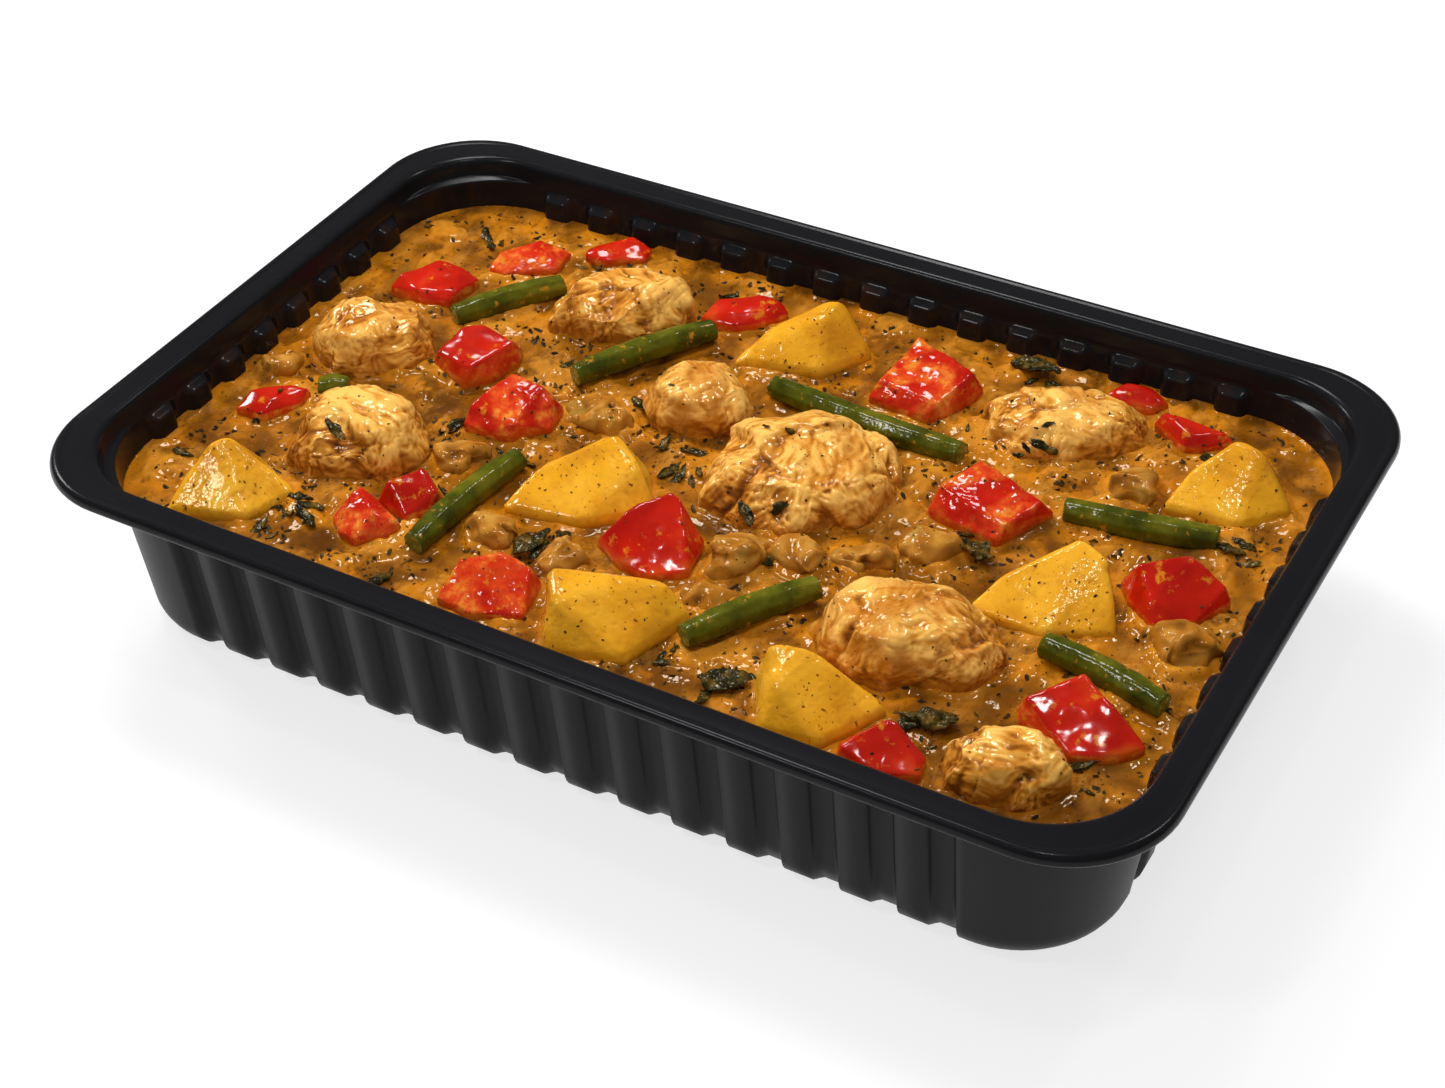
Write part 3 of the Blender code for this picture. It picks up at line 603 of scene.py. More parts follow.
def make_sauce(food):
    """The sauce's skin: swells, curds and small clots, drawn up thinly at the wall and at each piece."""
    half_x, half_y = TRAY_LENGTH / 2 - SAUCE_MARGIN, TRAY_WIDTH / 2 - SAUCE_MARGIN
    xs = np.arange(-half_x, half_x + SAUCE_PITCH, SAUCE_PITCH)
    ys = np.arange(-half_y, half_y + SAUCE_PITCH, SAUCE_PITCH)
    x, y = np.meshgrid(xs, ys, indexing="ij")
    shape = x.shape
    x, y = x.ravel(), y.ravel()
    inside, away_x, away_y = shore(x, y)
    out = np.where(inside < -SAUCE_HIDDEN, inside + SAUCE_HIDDEN, 0.0)
    x, y = x + away_x * out, y + away_y * out
    level = np.array([sauce_level(a, b) for a, b in zip(x, y)])
    flat = np.stack([x, y, np.zeros_like(x)], 1)

    bare = np.nonzero(inside > -0.5)[0]
    covered, gap = cover(food, x, y, level, bare, shape)
    coated = cover([p for p in food if p.name.startswith("onion")], x, y, level, bare, shape)[1]

    warp = flat + 3.0 * np.stack([lumps(flat, 10.0, 71), lumps(flat, 10.0, 72), 0 * x], 1)
    body = fine_lumps(warp, 13.0, 2, 61) + 0.30 * lumps(flat, 34.0, 63)
    thick = smoothstep(-0.05, 0.40, body)
    curl = 1 - 2 * np.abs(lumps(warp, 3.4, 66))
    grit = lumps(flat, 1.9, 67)
    ripple = lumps(warp, 5.5, 68)
    near_wall = smoothstep(0, 3.0, inside)
    drape = np.exp(-coated / 1.7)
    thick = np.maximum(thick, 0.8 * drape)
    detail = near_wall * (0.9 * thick + (0.15 + 0.85 * thick) * (0.42 * curl + 0.14 * grit) + 0.28 * ripple)
    draw_up = 0.80 * np.exp(-np.maximum(inside, 0) / 0.9) + 0.75 * np.exp(-gap / 0.85) * (gap > 0)
    draw_up = draw_up + 0.9 * drape
    dip = 0.35 * np.exp(-((gap - 2.4) / 1.1) ** 2)
    height = level - 0.55 + detail + draw_up - dip
    # Painted shade and highlight: this value is low in the thin hollows and in the dip round each piece,
    # which the finish darkens, and high on the thick crests, which it lightens
    ridge = 0.50 + 0.60 * body + 0.20 * thick * curl + 0.10 * grit * thick + 0.10 * drape - 0.10 * dip

    cell = (np.arange(shape[0] - 1)[:, None] * shape[1] + np.arange(shape[1] - 1)[None]).ravel()
    corners = np.stack([cell, cell + shape[1], cell + shape[1] + 1, cell + 1], 1)
    kept = corners[(inside[corners] > -0.1).any(1)]
    used = np.unique(kept)
    index = np.full(len(x), -1)
    index[used] = np.arange(len(used))
    verts = np.stack([x, y, height], 1)[used]
    sauce = add_mesh("sauce_surface", verts, index[kept])
    set_attribute(sauce, "ridge", ridge[used])
    bare = np.where(covered | (inside < 1.8), 0.0, 1.0)
    herby = (nearness(x, y, CLUMPS_SAUCE, 4.5) + 0.03) * smoothstep(*WALL_CLEARANCE, inside)
    busy = 0.25 + 1.5 * smoothstep(-0.1, 0.35, lumps(warp, 11.0, 76)) + 3.0 * herby
    set_attribute(sauce, "open", (bare * busy)[used])
    golden = np.exp(-np.maximum(inside, 0) / 2.2) + 0.9 * np.exp(-gap / 1.5)
    set_attribute(sauce, "golden", (golden * smoothstep(-0.3, 0.3, lumps(warp, 9.0, 78)))[used])
    set_attribute(sauce, "herby", (bare * herby)[used])
    close_below(sauce, TRAY_HEIGHT - SAUCE_DROP - SAUCE_FOOT)
    return sauce


def close_below(obj, z):
    """Gives an open skin upright sides and a flat underside."""
    bm = bmesh.new()
    bm.from_mesh(obj.data)
    rim = [e for e in bm.edges if e.is_boundary]
    made = bmesh.ops.extrude_edge_only(bm, edges=rim)["geom"]
    low = [v for v in made if isinstance(v, bmesh.types.BMVert)]
    for v in low:
        v.co.x *= FOOT_SHRINK[0]
        v.co.y *= FOOT_SHRINK[1]
        v.co.z = z * MM
    edges = [e for e in made if isinstance(e, bmesh.types.BMEdge)]
    bmesh.ops.holes_fill(bm, edges=edges, sides=0)
    bmesh.ops.recalc_face_normals(bm, faces=bm.faces)
    bm.to_mesh(obj.data)
    bm.free()
    obj.data.shade_smooth()


def food_tree(food):
    """One search tree over every piece of food."""
    verts, faces = [], []
    for piece in food:
        start = len(verts)
        verts += places(piece).tolist()
        faces += [[start + i for i in p.vertices] for p in piece.data.polygons]
    return BVHTree.FromPolygons(verts, faces)


# Finishes

def add_node(tree, kind, sockets=None, **settings):
    """Adds a shader node; a socket given as a value is a link."""
    made = tree.nodes.new("ShaderNode" + kind)
    for key, value in settings.items():
        setattr(made, key, value)
    for key, value in (sockets or {}).items():
        if isinstance(value, bpy.types.NodeSocket):
            tree.links.new(value, made.inputs[key])
        else:
            made.inputs[key].default_value = value
    return made


def finish(name, roughness, **sockets):
    """A new material and its node tree, with the shader's plain values set."""
    made = bpy.data.materials.new(name)
    made.use_nodes = True
    tree = made.node_tree
    shader = tree.nodes["Principled BSDF"]
    shader.inputs["Roughness"].default_value = roughness
    for key, value in sockets.items():
        shader.inputs[key.replace("_", " ")].default_value = value
    return made, tree, shader


def wet_finish(name, roughness, red_reach, **sockets):
    """A moist, slightly see-through finish with a golden gleam."""
    made, tree, shader = finish(name, roughness, IOR=WET_IOR, Specular_Tint=WET_GLEAM, **sockets)
    shader.inputs["Subsurface Radius"].default_value = red_reach
    return made, tree, shader


def object_places(tree, stretch=(1, 1, 1), turn=0.0):
    where = add_node(tree, "TexCoord").outputs["Object"]
    made = add_node(tree, "Mapping", {"Vector": where, "Scale": stretch, "Rotation": (0, 0, turn)})
    return made.outputs[0]


def speckle(tree, size, detail=3.0, rough=0.55, seed=0.0, stretch=(1, 1, 1), turn=0.0):
    """Noise with lumps of a size in millimetres."""
    where = object_places(tree, stretch, turn)
    sockets = {"Vector": where, "W": seed, "Scale": 1000 / size, "Detail": detail, "Roughness": rough}
    made = add_node(tree, "TexNoise", sockets, noise_dimensions="4D")
    return made.outputs["Fac"]


def ramp(tree, fac, *stops, ease="LINEAR"):
    """Colours along a value; each stop is a place and a colour or a grey."""
    made = add_node(tree, "ValToRGB", {"Fac": fac})
    made.color_ramp.interpolation = ease
    points = made.color_ramp.elements
    while len(points) < len(stops):
        points.new(0.5)
    for point, (place, colour) in zip(points, stops):
        point.position = place
        point.color = (*colour, 1) if isinstance(colour, tuple) else (colour, colour, colour, 1)
    return made.outputs["Color"]


def mix(tree, fac, a, b, blend="MIX"):
    """Mixes two colours, each a socket or a colour."""
    made = add_node(tree, "Mix", data_type="RGBA", blend_type=blend)
    for i, value in ((0, fac), (6, a), (7, b)):
        if isinstance(value, bpy.types.NodeSocket):
            tree.links.new(value, made.inputs[i])
        else:
            made.inputs[i].default_value = (*value, 1) if isinstance(value, tuple) else value
    return made.outputs[2]


def maths(tree, operation, a, b=0.5, clamp=False):
    made = add_node(tree, "Math", operation=operation, use_clamp=clamp)
    for i, value in enumerate((a, b)):
        if isinstance(value, bpy.types.NodeSocket):
            tree.links.new(value, made.inputs[i])
        else:
            made.inputs[i].default_value = value
    return made.outputs[0]


def coat(tree, base, mask, share, colour):
    """Lays a colour over another where the mask is, at a share of its full strength."""
    return mix(tree, maths(tree, "MULTIPLY", mask, share), base, colour)


def attribute(tree, name):
    return add_node(tree, "Attribute", attribute_name=name).outputs["Fac"]


def bumps(tree, shader, *layers):
    """Fine relief: each layer is a height and its depth in millimetres."""
    normal = None
    for height, depth in layers:
        sockets = {"Height": height, "Distance": depth * MM, "Strength": 1.0}
        if normal:
            sockets["Normal"] = normal
        normal = add_node(tree, "Bump", sockets).outputs["Normal"]
    tree.links.new(normal, shader.inputs["Normal"])


def sauce_finish():
    made, tree, shader = wet_finish("sauce", 0.09, (1.0, 0.4, 0.1),
                                    Subsurface_Weight=0.12, Subsurface_Scale=0.0012)
    ridge = attribute(tree, "ridge")
    base = ramp(tree, speckle(tree, 20, 5, 0.62, 1),
                (0.34, (0.085, 0.027, 0.0015)), (0.46, (0.205, 0.068, 0.0035)),
                (0.56, (0.34, 0.118, 0.007)), (0.70, (0.46, 0.155, 0.005)))
    oil = ramp(tree, speckle(tree, 9, 5, 0.62, 2), (0.50, 0.0), (0.60, 1.0))
    base = coat(tree, base, oil, 0.75, (0.54, 0.180, 0.005))
    streak = ramp(tree, speckle(tree, 5, 6, 0.7, 3, (1, 0.4, 1), 0.6), (0.50, 0.0), (0.62, 1.0))
    base = coat(tree, base, streak, 0.5, (0.50, 0.215, 0.030))
    silt = ramp(tree, speckle(tree, 2.4, 6, 0.72, 8, (1, 0.5, 1), 0.6), (0.54, 0.0), (0.68, 1.0))
    base = coat(tree, base, silt, 0.85, (0.085, 0.026, 0.002))
    # Painted shade: the sauce is darkened in its hollows and in the dip round each piece
    hollow_shade = ramp(tree, ridge, (0.30, 1.0), (0.52, 0.0))
    base = coat(tree, base, hollow_shade, 0.75, (0.090, 0.028, 0.002))
    golden = maths(tree, "MULTIPLY", attribute(tree, "golden"), 0.75, True)
    base = mix(tree, golden, base, (0.60, 0.205, 0.004))
    # Painted highlight: the sauce is lightened on its crests
    crest_highlight = ramp(tree, ridge, (0.62, 0.0), (0.90, 1.0))
    base = coat(tree, base, crest_highlight, 0.55, (0.60, 0.24, 0.020))
    specks = ramp(tree, speckle(tree, 0.9, 2, 0.5, 4), (0.29, 1.0), (0.35, 0.0))
    base = coat(tree, base, specks, 0.85, (0.030, 0.012, 0.002))
    tree.links.new(base, shader.inputs["Base Color"])
    bumps(tree, shader, (speckle(tree, 3.0, 1.5, 0.5, 6), 0.50))
    return made


def chicken_finish():
    made, tree, shader = wet_finish("chicken", 0.2, (1.0, 0.45, 0.15),
                                    Subsurface_Weight=0.15, Subsurface_Scale=0.0012,
                                    Specular_IOR_Level=0.85)
    # Painted shade and highlight: the colour runs from dark brown in creases and low down to pale gold on
    # the swells
    base = ramp(tree, attribute(tree, "ridge"), (0.04, (0.060, 0.015, 0.001)), (0.32, (0.30, 0.088, 0.006)),
                (0.52, (0.62, 0.250, 0.026)), (0.78, (0.92, 0.52, 0.115)))
    stain = ramp(tree, speckle(tree, 9, 4, 0.6, 1), (0.40, 0.0), (0.62, 1.0))
    base = coat(tree, base, stain, attribute(tree, "toast"), (0.47, 0.145, 0.007))
    brown = ramp(tree, speckle(tree, 3.2, 5, 0.66, 2), (0.57, 0.0), (0.70, 1.0))
    base = coat(tree, base, brown, 0.75, (0.30, 0.075, 0.005))
    pale = ramp(tree, speckle(tree, 4.0, 5, 0.66, 7), (0.58, 0.0), (0.68, 1.0))
    base = coat(tree, base, pale, 0.5, (0.90, 0.52, 0.14))
    specks = ramp(tree, speckle(tree, 1.0, 2, 0.5, 3), (0.28, 1.0), (0.33, 0.0))
    base = coat(tree, base, specks, 0.8, (0.07, 0.020, 0.003))
    base = coat(tree, base, attribute(tree, "film"), 0.6, (0.36, 0.120, 0.008))
    tree.links.new(base, shader.inputs["Base Color"])
    wet = ramp(tree, speckle(tree, 5.0, 3, 0.6, 4), (0.46, 0.06), (0.60, 0.15))
    tree.links.new(wet, shader.inputs["Roughness"])
    bumps(tree, shader, (speckle(tree, 2.4, 2, 0.5, 5), 0.30))
    return made


def potato_finish():
    made, tree, shader = wet_finish("potato", 0.12, (1.0, 0.55, 0.12),
                                    Subsurface_Weight=0.2, Subsurface_Scale=0.0015, Specular_IOR_Level=0.7)
    base = ramp(tree, speckle(tree, 16, 3, 0.55, 1),
                (0.34, (0.58, 0.235, 0.008)), (0.50, (0.74, 0.335, 0.012)),
                (0.68, (0.84, 0.43, 0.028)))
    # Painted shade: the potato is darkened in its pits
    hollow_shade = ramp(tree, attribute(tree, "ridge"), (0.15, 0.7), (0.45, 0.0))
    base = mix(tree, hollow_shade, base, (0.50, 0.19, 0.008))
    smear = ramp(tree, speckle(tree, 5, 5, 0.62, 2), (0.55, 0.0), (0.68, 1.0))
    base = coat(tree, base, smear, 0.5, (0.60, 0.235, 0.010))
    specks = ramp(tree, speckle(tree, 1.1, 2, 0.5, 3, (1, 1, 0.5)), (0.30, 1.0), (0.35, 0.0))
    base = coat(tree, base, specks, 0.9, (0.16, 0.034, 0.003))
    base = coat(tree, base, attribute(tree, "film"), 0.55, (0.50, 0.185, 0.008))
    tree.links.new(base, shader.inputs["Base Color"])
    bumps(tree, shader, (speckle(tree, 1.7, 2, 0.5, 4), 0.20))
    return made


def pepper_finish():
    made, tree, shader = finish("pepper", 0.10, IOR=1.42, Subsurface_Weight=0.06, Subsurface_Scale=0.0012,
                                Specular_IOR_Level=0.5)
    shader.inputs["Subsurface Radius"].default_value = (1.0, 0.2, 0.05)
    skin = ramp(tree, speckle(tree, 12, 3, 0.5, 1),
                (0.34, (0.34, 0.005, 0.001)), (0.55, (0.49, 0.012, 0.002)),
                (0.72, (0.60, 0.050, 0.006)))
    cut = ramp(tree, speckle(tree, 3.4, 5, 0.62, 2),
               (0.36, (0.48, 0.014, 0.003)), (0.52, (0.62, 0.060, 0.008)),
               (0.68, (0.72, 0.25, 0.030)))
    base = mix(tree, attribute(tree, "flesh"), skin, cut)
    smear = ramp(tree, speckle(tree, 4.0, 5, 0.65, 3), (0.58, 0.0), (0.66, 1.0))
    base = coat(tree, base, smear, 0.7, (0.62, 0.24, 0.012))
    base = coat(tree, base, attribute(tree, "film"), 0.45, (0.48, 0.120, 0.006))
    tree.links.new(base, shader.inputs["Base Color"])
    bumps(tree, shader, (speckle(tree, 4.0, 1, 0.5, 4), 0.16))
    return made


def onion_finish():
    made, tree, shader = wet_finish("onion", 0.09, (1.0, 0.5, 0.15),
                                    Subsurface_Weight=0.20, Subsurface_Scale=0.002)
    # Painted shade: the onion is darker in the grooves between its curls, over random tone
    base = ramp(tree, attribute(tree, "ridge"), (0.15, (0.14, 0.046, 0.004)), (0.5, (0.34, 0.130, 0.013)),
                (0.85, (0.52, 0.25, 0.040)))
    stain = ramp(tree, speckle(tree, 5, 5, 0.62, 1), (0.46, 0.0), (0.58, 1.0))
    base = coat(tree, base, stain, 0.7, (0.40, 0.140, 0.007))
    green = ramp(tree, speckle(tree, 7, 3, 0.6, 2), (0.58, 0.0), (0.70, 1.0))
    base = coat(tree, base, green, 0.55, (0.26, 0.19, 0.035))
    specks = ramp(tree, speckle(tree, 1.0, 2, 0.5, 3), (0.26, 1.0), (0.32, 0.0))
    base = coat(tree, base, specks, 0.85, (0.035, 0.016, 0.004))
    tree.links.new(base, shader.inputs["Base Color"])
    bumps(tree, shader, (speckle(tree, 2.2, 1.5, 0.5, 5), 0.40))
    return made


def bean_finish():
    made, tree, shader = finish("bean", 0.12, IOR=1.42, Specular_IOR_Level=0.40)
    skin = ramp(tree, speckle(tree, 8, 4, 0.6, 1),
                (0.34, (0.030, 0.036, 0.001)), (0.52, (0.080, 0.084, 0.003)),
                (0.70, (0.160, 0.140, 0.008)))
    end = ramp(tree, speckle(tree, 1.5, 3, 0.6, 2), (0.4, (0.15, 0.14, 0.012)), (0.7, (0.30, 0.26, 0.035)))
    base = mix(tree, attribute(tree, "flesh"), skin, end)
    smear = ramp(tree, speckle(tree, 2.6, 5, 0.65, 3), (0.60, 0.0), (0.66, 1.0))
    base = coat(tree, base, smear, 0.75, (0.46, 0.20, 0.012))
    tree.links.new(base, shader.inputs["Base Color"])
    bumps(tree, shader, (speckle(tree, 1.6, 1.5, 0.5, 4), 0.16))
    return made


def leaf_finish():
    made, tree, shader = wet_finish("leaf", 0.16, (1.0, 0.5, 0.15),
                                    Subsurface_Weight=0.0)
    base = ramp(tree, speckle(tree, 3.0, 4, 0.65, 1),
                (0.36, (0.005, 0.005, 0.002)), (0.50, (0.022, 0.020, 0.004)),
                (0.64, (0.15, 0.080, 0.010)))
    tree.links.new(base, shader.inputs["Base Color"])
    bumps(tree, shader, (speckle(tree, 1.6, 2, 0.5, 4), 0.35))
    return made


def tray_finish():
    made, tree, shader = finish("black_plastic", 0.30, IOR=1.46)
    where = add_node(tree, "SeparateXYZ", {"Vector": add_node(tree, "TexCoord").outputs["Object"]})
    inner = attribute(tree, "inner")
    film = ramp(tree, speckle(tree, 7, 3, 0.6, 1, (1, 1, 0.25)), (0.46, 0.0), (0.70, 1.0))
    film = maths(tree, "MULTIPLY", film, inner)
    black = ramp(tree, speckle(tree, 40, 2, 0.5, 2),
                 (0.3, (0.0070, 0.0070, 0.0080)), (0.7, (0.0090, 0.0090, 0.0105)))
    base = coat(tree, black, film, 0.35, (0.050, 0.018, 0.002))
    tree.links.new(base, shader.inputs["Base Color"])
    rim = maths(tree, "GREATER_THAN", where.outputs["Z"], (TRAY_HEIGHT - 6.0) * MM)
    dull = mix(tree, rim, (0.42, 0.42, 0.42), (0.20, 0.20, 0.20))
    tree.links.new(mix(tree, inner, dull, (0.16, 0.16, 0.16)), shader.inputs["Roughness"])
    shader.inputs["Specular IOR Level"].default_value = 0.16
    bumps(tree, shader, (speckle(tree, 0.35, 2, 0.5, 4), 0.006), (speckle(tree, 12, 2, 0.5, 5), 0.05))
    return made


def herb_finish():
    made, tree, shader = finish("herb", 0.35, IOR=1.42, Specular_IOR_Level=0.2)
    base = ramp(tree, speckle(tree, 5.0, 2, 0.6, 1),
                (0.42, (0.012, 0.008, 0.002)), (0.56, (0.045, 0.026, 0.004)),
                (0.70, (0.17, 0.065, 0.008)))
    tree.links.new(base, shader.inputs["Base Color"])
    return made


# Scattered bits, set out by a Geometry Nodes tree

SCRAP_SHAPE = (1.3, 0.75, 1.0)


def flake(name, seed):
    """A small crumpled flake of herb."""
    rng = random.Random(seed)
    verts = [(0.0, 0.0, 0.10), (0.0, 0.0, -0.10)]
    count = 6
    for i in range(count):
        a = 2 * math.pi * i / count
        reach = 0.5 * rng.uniform(0.55, 1.0)
        verts.append((reach * math.cos(a) * 1.5, reach * math.sin(a) * 0.75, rng.uniform(-0.16, 0.16)))
    faces = []
    for i in range(count):
        a, b = 2 + i, 2 + (i + 1) % count
        faces += [(0, a, b), (1, b, a)]
    return add_mesh(name, verts, faces, smooth=False)


def scrap(name, seed):
    """A curled scrap of wilted leaf: a small bent sheet with two skins."""
    rng = random.Random(seed)
    across, along = 5, 8
    bend, twist = rng.uniform(-0.6, 1.0), rng.uniform(-0.6, 0.6)
    top = []
    for i in range(along):
        for j in range(across):
            u, v = i / (along - 1) - 0.5, j / (across - 1) - 0.5
            wide = (0.75 - 1.9 * u * u) * rng.uniform(0.45, 1.15)
            rise = 0.45 * bend * (0.10 - v * v * 0.5 - u * u * 0.4) + twist * u * v * 0.5
            top.append((u + 0.05 * rng.uniform(-1, 1), wide * v, rise + 0.075 * rng.uniform(-1, 1)))
    verts = top + [(x, y, z - 0.035) for x, y, z in top]
    low = len(top)
    faces = []
    for i in range(along - 1):
        for j in range(across - 1):
            a = i * across + j
            b, c, d = a + across, a + across + 1, a + 1
            faces += [(a, b, c, d), (low + d, low + c, low + b, low + a)]
    loop = list(range(across)) + [i * across + across - 1 for i in range(1, along)]
    loop += [(along - 1) * across + j for j in range(across - 2, -1, -1)]
    loop += [i * across for i in range(along - 2, 0, -1)]
    for a, b in zip(loop, loop[1:] + loop[:1]):
        faces.append((a, b, low + b, low + a))
    return add_mesh(name, np.array(verts) * SCRAP_SHAPE, faces)


def scatter_tree():
    """Bits from a collection, spread over a skin and laid along it, as real mesh."""
    tree = bpy.data.node_groups.new("scatter", "GeometryNodeTree")
    face = tree.interface
    inputs = (("Skin", "Geometry"), ("Bits", "Collection"), ("Per Square Metre", "Float"),
              ("Where", "String"), ("Smallest", "Float"), ("Largest", "Float"), ("Tilt", "Float"),
              ("Lift", "Float"), ("Seed", "Int"), ("Finish", "Material"))
    for name, kind in inputs:
        face.new_socket(name, in_out="INPUT", socket_type="NodeSocket" + kind)
    face.new_socket("Bits", in_out="OUTPUT", socket_type="NodeSocketGeometry")
    enter, leave = tree.nodes.new("NodeGroupInput").outputs, tree.nodes.new("NodeGroupOutput").inputs

    def add(kind, links, **settings):
        made = tree.nodes.new(kind)
        for key, value in settings.items():
            setattr(made, key, value)
        for key, value in links.items():
            if isinstance(value, bpy.types.NodeSocket):
                tree.links.new(value, made.inputs[key])
            else:
                made.inputs[key].default_value = value
        return made

    where = add("GeometryNodeInputNamedAttribute", {"Name": enter["Where"]}, data_type="FLOAT")
    amount = add("ShaderNodeMath", {0: where.outputs["Attribute"], 1: enter["Per Square Metre"]},
                 operation="MULTIPLY")
    spots = add("GeometryNodeDistributePointsOnFaces",
                {"Mesh": enter["Skin"], "Density": amount.outputs[0], "Seed": enter["Seed"]})
    size = add("FunctionNodeRandomValue",
               {2: enter["Smallest"], 3: enter["Largest"], "Seed": enter["Seed"]}, data_type="FLOAT")
    bits = add("GeometryNodeCollectionInfo",
               {"Collection": enter["Bits"], "Separate Children": True, "Reset Children": True})
    placed = add("GeometryNodeInstanceOnPoints",
                 {"Points": spots.outputs["Points"], "Instance": bits.outputs[0], "Pick Instance": True,
                  "Rotation": spots.outputs["Rotation"], "Scale": size.outputs[1]})
    low = add("ShaderNodeMath", {0: enter["Tilt"], 1: -1.0}, operation="MULTIPLY")
    least = add("ShaderNodeCombineXYZ", {"X": low.outputs[0], "Y": low.outputs[0], "Z": 0.0})
    most = add("ShaderNodeCombineXYZ", {"X": enter["Tilt"], "Y": enter["Tilt"], "Z": 2 * math.pi})
    turn = add("FunctionNodeRandomValue",
               {0: least.outputs[0], 1: most.outputs[0], "Seed": enter["Seed"]}, data_type="FLOAT_VECTOR")
    turned = add("GeometryNodeRotateInstances",
                 {"Instances": placed.outputs[0], "Rotation": turn.outputs[0]})
    lift = add("ShaderNodeCombineXYZ", {"Z": enter["Lift"]})
    lifted = add("GeometryNodeTranslateInstances",
                 {"Instances": turned.outputs[0], "Translation": lift.outputs[0]})
    real = add("GeometryNodeRealizeInstances", {"Geometry": lifted.outputs[0]})
    done = add("GeometryNodeSetMaterial", {"Geometry": real.outputs[0], "Material": enter["Finish"]})
    tree.links.new(done.outputs[0], leave[0])
    return tree


def joined_copy(name, pieces):
    """One mesh with the faces of several pieces."""
    bm = bmesh.new()
    for piece in pieces:
        bm.from_mesh(piece.data)
    mesh = bpy.data.meshes.new(name)
    bm.to_mesh(mesh)
    bm.free()
    obj = bpy.data.objects.new(name, mesh)
    SCENE.collection.objects.link(obj)
    return obj


def scatter(tree, name, skin, bits, material, values):
    """Runs the scatter tree on a skin and keeps its result as a plain mesh."""
    holder = bpy.data.collections.new(name + "_bits")
    SCENE.collection.children.link(holder)
    for bit in bits:
        for old in list(bit.users_collection):
            old.objects.unlink(bit)
        holder.objects.link(bit)
    source = skin.copy()
    SCENE.collection.objects.link(source)
    modifier = source.modifiers.new("scatter", "NODES")
    modifier.node_group = tree
    sockets = {s.name: s.identifier for s in tree.interface.items_tree if s.in_out == "INPUT"}
    for key, value in {"Bits": holder, "Finish": material, **dict(zip(SCATTER_INPUTS, values))}.items():
        modifier[sockets[key]] = value
    mesh = bpy.data.meshes.new_from_object(source.evaluated_get(bpy.context.evaluated_depsgraph_get()))
    bpy.data.objects.remove(source)
    for bit in bits:
        bpy.data.objects.remove(bit)
    bpy.data.collections.remove(holder)
    mesh.name = name
    obj = bpy.data.objects.new(name, mesh)
    SCENE.collection.objects.link(obj)
    return obj


def food_tops(food):
    """The food's faces in one mesh, marked with where flecks and where scraps of leaf may lie."""
    tops = joined_copy("food_tops", [p for p in food if not p.name.startswith("bean")])
    x, y, z = places(tops).T
    facing = normals(tops)[:, 2]
    bare = z > TRAY_HEIGHT - SAUCE_DROP + 1.0
    set_attribute(tops, "open", smoothstep(0.0, 0.5, facing) * bare)
    spots = (nearness(x, y, CLUMPS_FOOD, 4.0) + 0.004) * smoothstep(*WALL_CLEARANCE, shore(x, y)[0])
    set_attribute(tops, "spots", smoothstep(0.1, 0.5, facing) * bare * spots)
    return tops


# Studio

def set_camera():
    """The camera, from its turn, dip and roll."""
    turn, dip, roll = (math.radians(a) for a in (CAMERA_TURN, CAMERA_DIP, CAMERA_ROLL))
    forward = Vector((-math.sin(turn) * math.cos(dip), math.cos(turn) * math.cos(dip), -math.sin(dip)))
    right = Vector((math.cos(turn), math.sin(turn), 0.0))
    down = forward.cross(right)
    c, s = math.cos(roll), math.sin(roll)
    right, down = c * right + s * down, -s * right + c * down
    data = bpy.data.cameras.new("camera")
    data.lens = CAMERA_LENS
    data.sensor_width = 36.0
    data.sensor_fit = "HORIZONTAL"
    data.shift_x, data.shift_y = CAMERA_SHIFT
    data.clip_start, data.clip_end = 0.01, 20.0
    camera = bpy.data.objects.new("camera", data)
    axes = Matrix((right, -down, -forward)).transposed().to_4x4()
    camera.matrix_world = Matrix.Translation(Vector(CAMERA_PLACE) * MM) @ axes
    SCENE.collection.objects.link(camera)
    SCENE.camera = camera


def add_lamp(name, place, size, watts, glossy):
    """A square lamp that looks at the tray's middle; a soft one stays out of the reflections."""
    data = bpy.data.lights.new(name, "AREA")
    data.size = size
    data.energy = watts
    lamp = bpy.data.objects.new(name, data)
    lamp.location = place
    lamp.rotation_euler = (Vector(LAMP_AIM) - Vector(place)).to_track_quat("-Z", "Y").to_euler()
    lamp.visible_glossy = glossy
    SCENE.collection.objects.link(lamp)


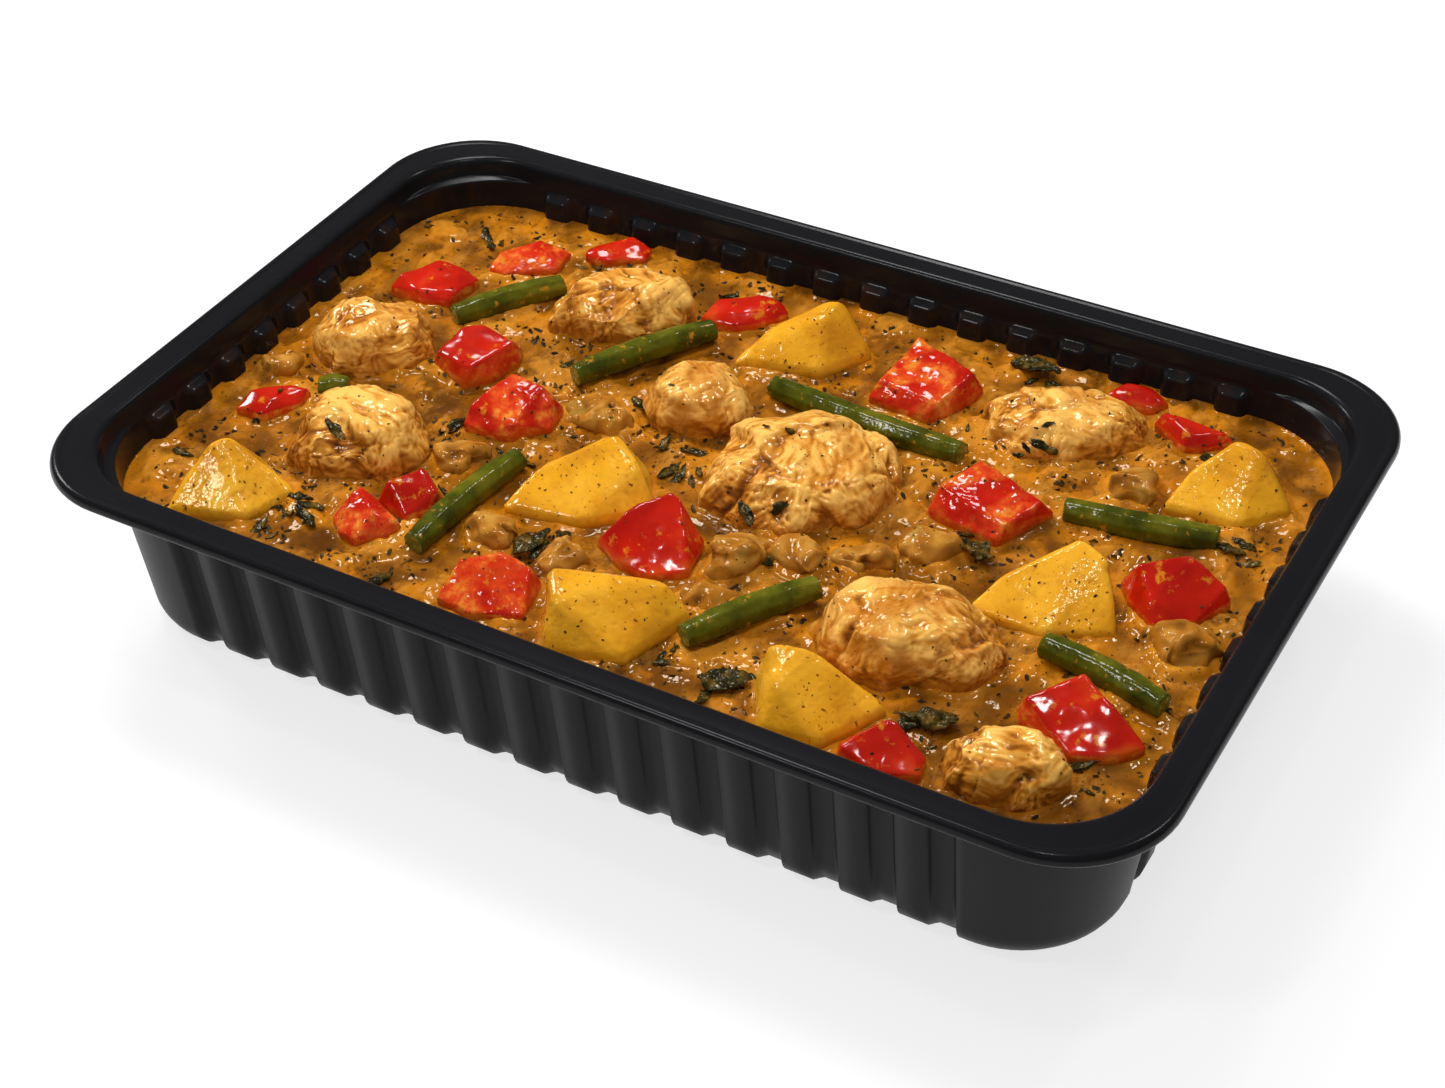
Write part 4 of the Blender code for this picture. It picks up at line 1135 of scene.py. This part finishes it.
def set_studio():
    """Soft lamps, a pale world and a floor that glows a little."""
    world = bpy.data.worlds.new("studio")
    world.use_nodes = True
    background = world.node_tree.nodes["Background"].inputs
    background["Color"].default_value = (1.0, 1.0, 1.0, 1.0)
    background["Strength"].default_value = WORLD_LIGHT
    SCENE.world = world
    for lamp in LAMPS:
        add_lamp(*lamp)
    corners = [(-1, -1, 0), (1, -1, 0), (1, 1, 0), (-1, 1, 0)]
    floor = add_mesh("floor", np.array(corners) * FLOOR_HALF, [(0, 1, 2, 3)])
    made, _, shader = finish("floor", 0.8)
    shader.inputs["Base Color"].default_value = (FLOOR_GREY, FLOOR_GREY, FLOOR_GREY, 1.0)
    shader.inputs["Specular IOR Level"].default_value = 0.0
    shader.inputs["Emission Color"].default_value = (1.0, 1.0, 1.0, 1.0)
    shader.inputs["Emission Strength"].default_value = FLOOR_GLOW
    floor.data.materials.append(made)
    SCENE.view_settings.view_transform = "Standard"


def settle(piece, slot, *nodes):
    """Lets a piece ride on the meal, in the place of the nodes that it stands for."""
    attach(piece, "root")
    if nodes:
        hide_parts(*nodes)


def lay_out(kind, make, material):
    """Makes every piece of one kind of food, each in its node's place."""
    pieces = []
    for number in range(1, FOOD[kind][1] + 1):
        piece = make(number)
        piece.data.materials.append(material)
        settle(piece, kind, f"{kind}_{number}")
        pieces.append(piece)
    return pieces


def strew(tree, name, skin, make, shapes, first_seed, material, values):
    """Scatters a few shapes of a bit over a skin, as one piece."""
    bits = [make(f"{name}_{i}", first_seed + i) for i in range(shapes)]
    settle(scatter(tree, name, skin, bits, material, values), "leaf")


def build():
    set_camera()
    set_studio()
    tray = make_tray()
    tray.data.materials.append(tray_finish())
    settle(tray, "tray", "tray")
    food = lay_out("chicken", make_chicken, chicken_finish())
    food += lay_out("potato", make_potato, potato_finish())
    food += lay_out("pepper", make_pepper, pepper_finish())
    food += lay_out("bean", make_bean, bean_finish())
    food += lay_out("onion", make_onion, onion_finish())
    sauce = make_sauce(food)
    sauce.data.materials.append(sauce_finish())
    settle(sauce, "sauce", "sauce")
    leaves = leaf_finish()
    lay_out("leaf", make_leaf, leaves)

    tree = scatter_tree()
    herbs = herb_finish()
    strew(tree, "herb_flakes_sauce", sauce, flake, 4, SEED, herbs, FLAKES_IN_SAUCE)
    strew(tree, "leaf_scraps_sauce", sauce, scrap, 5, SEED + 40, leaves, SCRAPS_IN_SAUCE)
    tops = food_tops(food)
    strew(tree, "herb_flecks_food", tops, flake, 4, SEED + 20, herbs, FLECKS_ON_FOOD)
    strew(tree, "leaf_scraps_food", tops, scrap, 5, SEED + 60, leaves, SCRAPS_ON_FOOD)
    bpy.data.objects.remove(tops)


build()
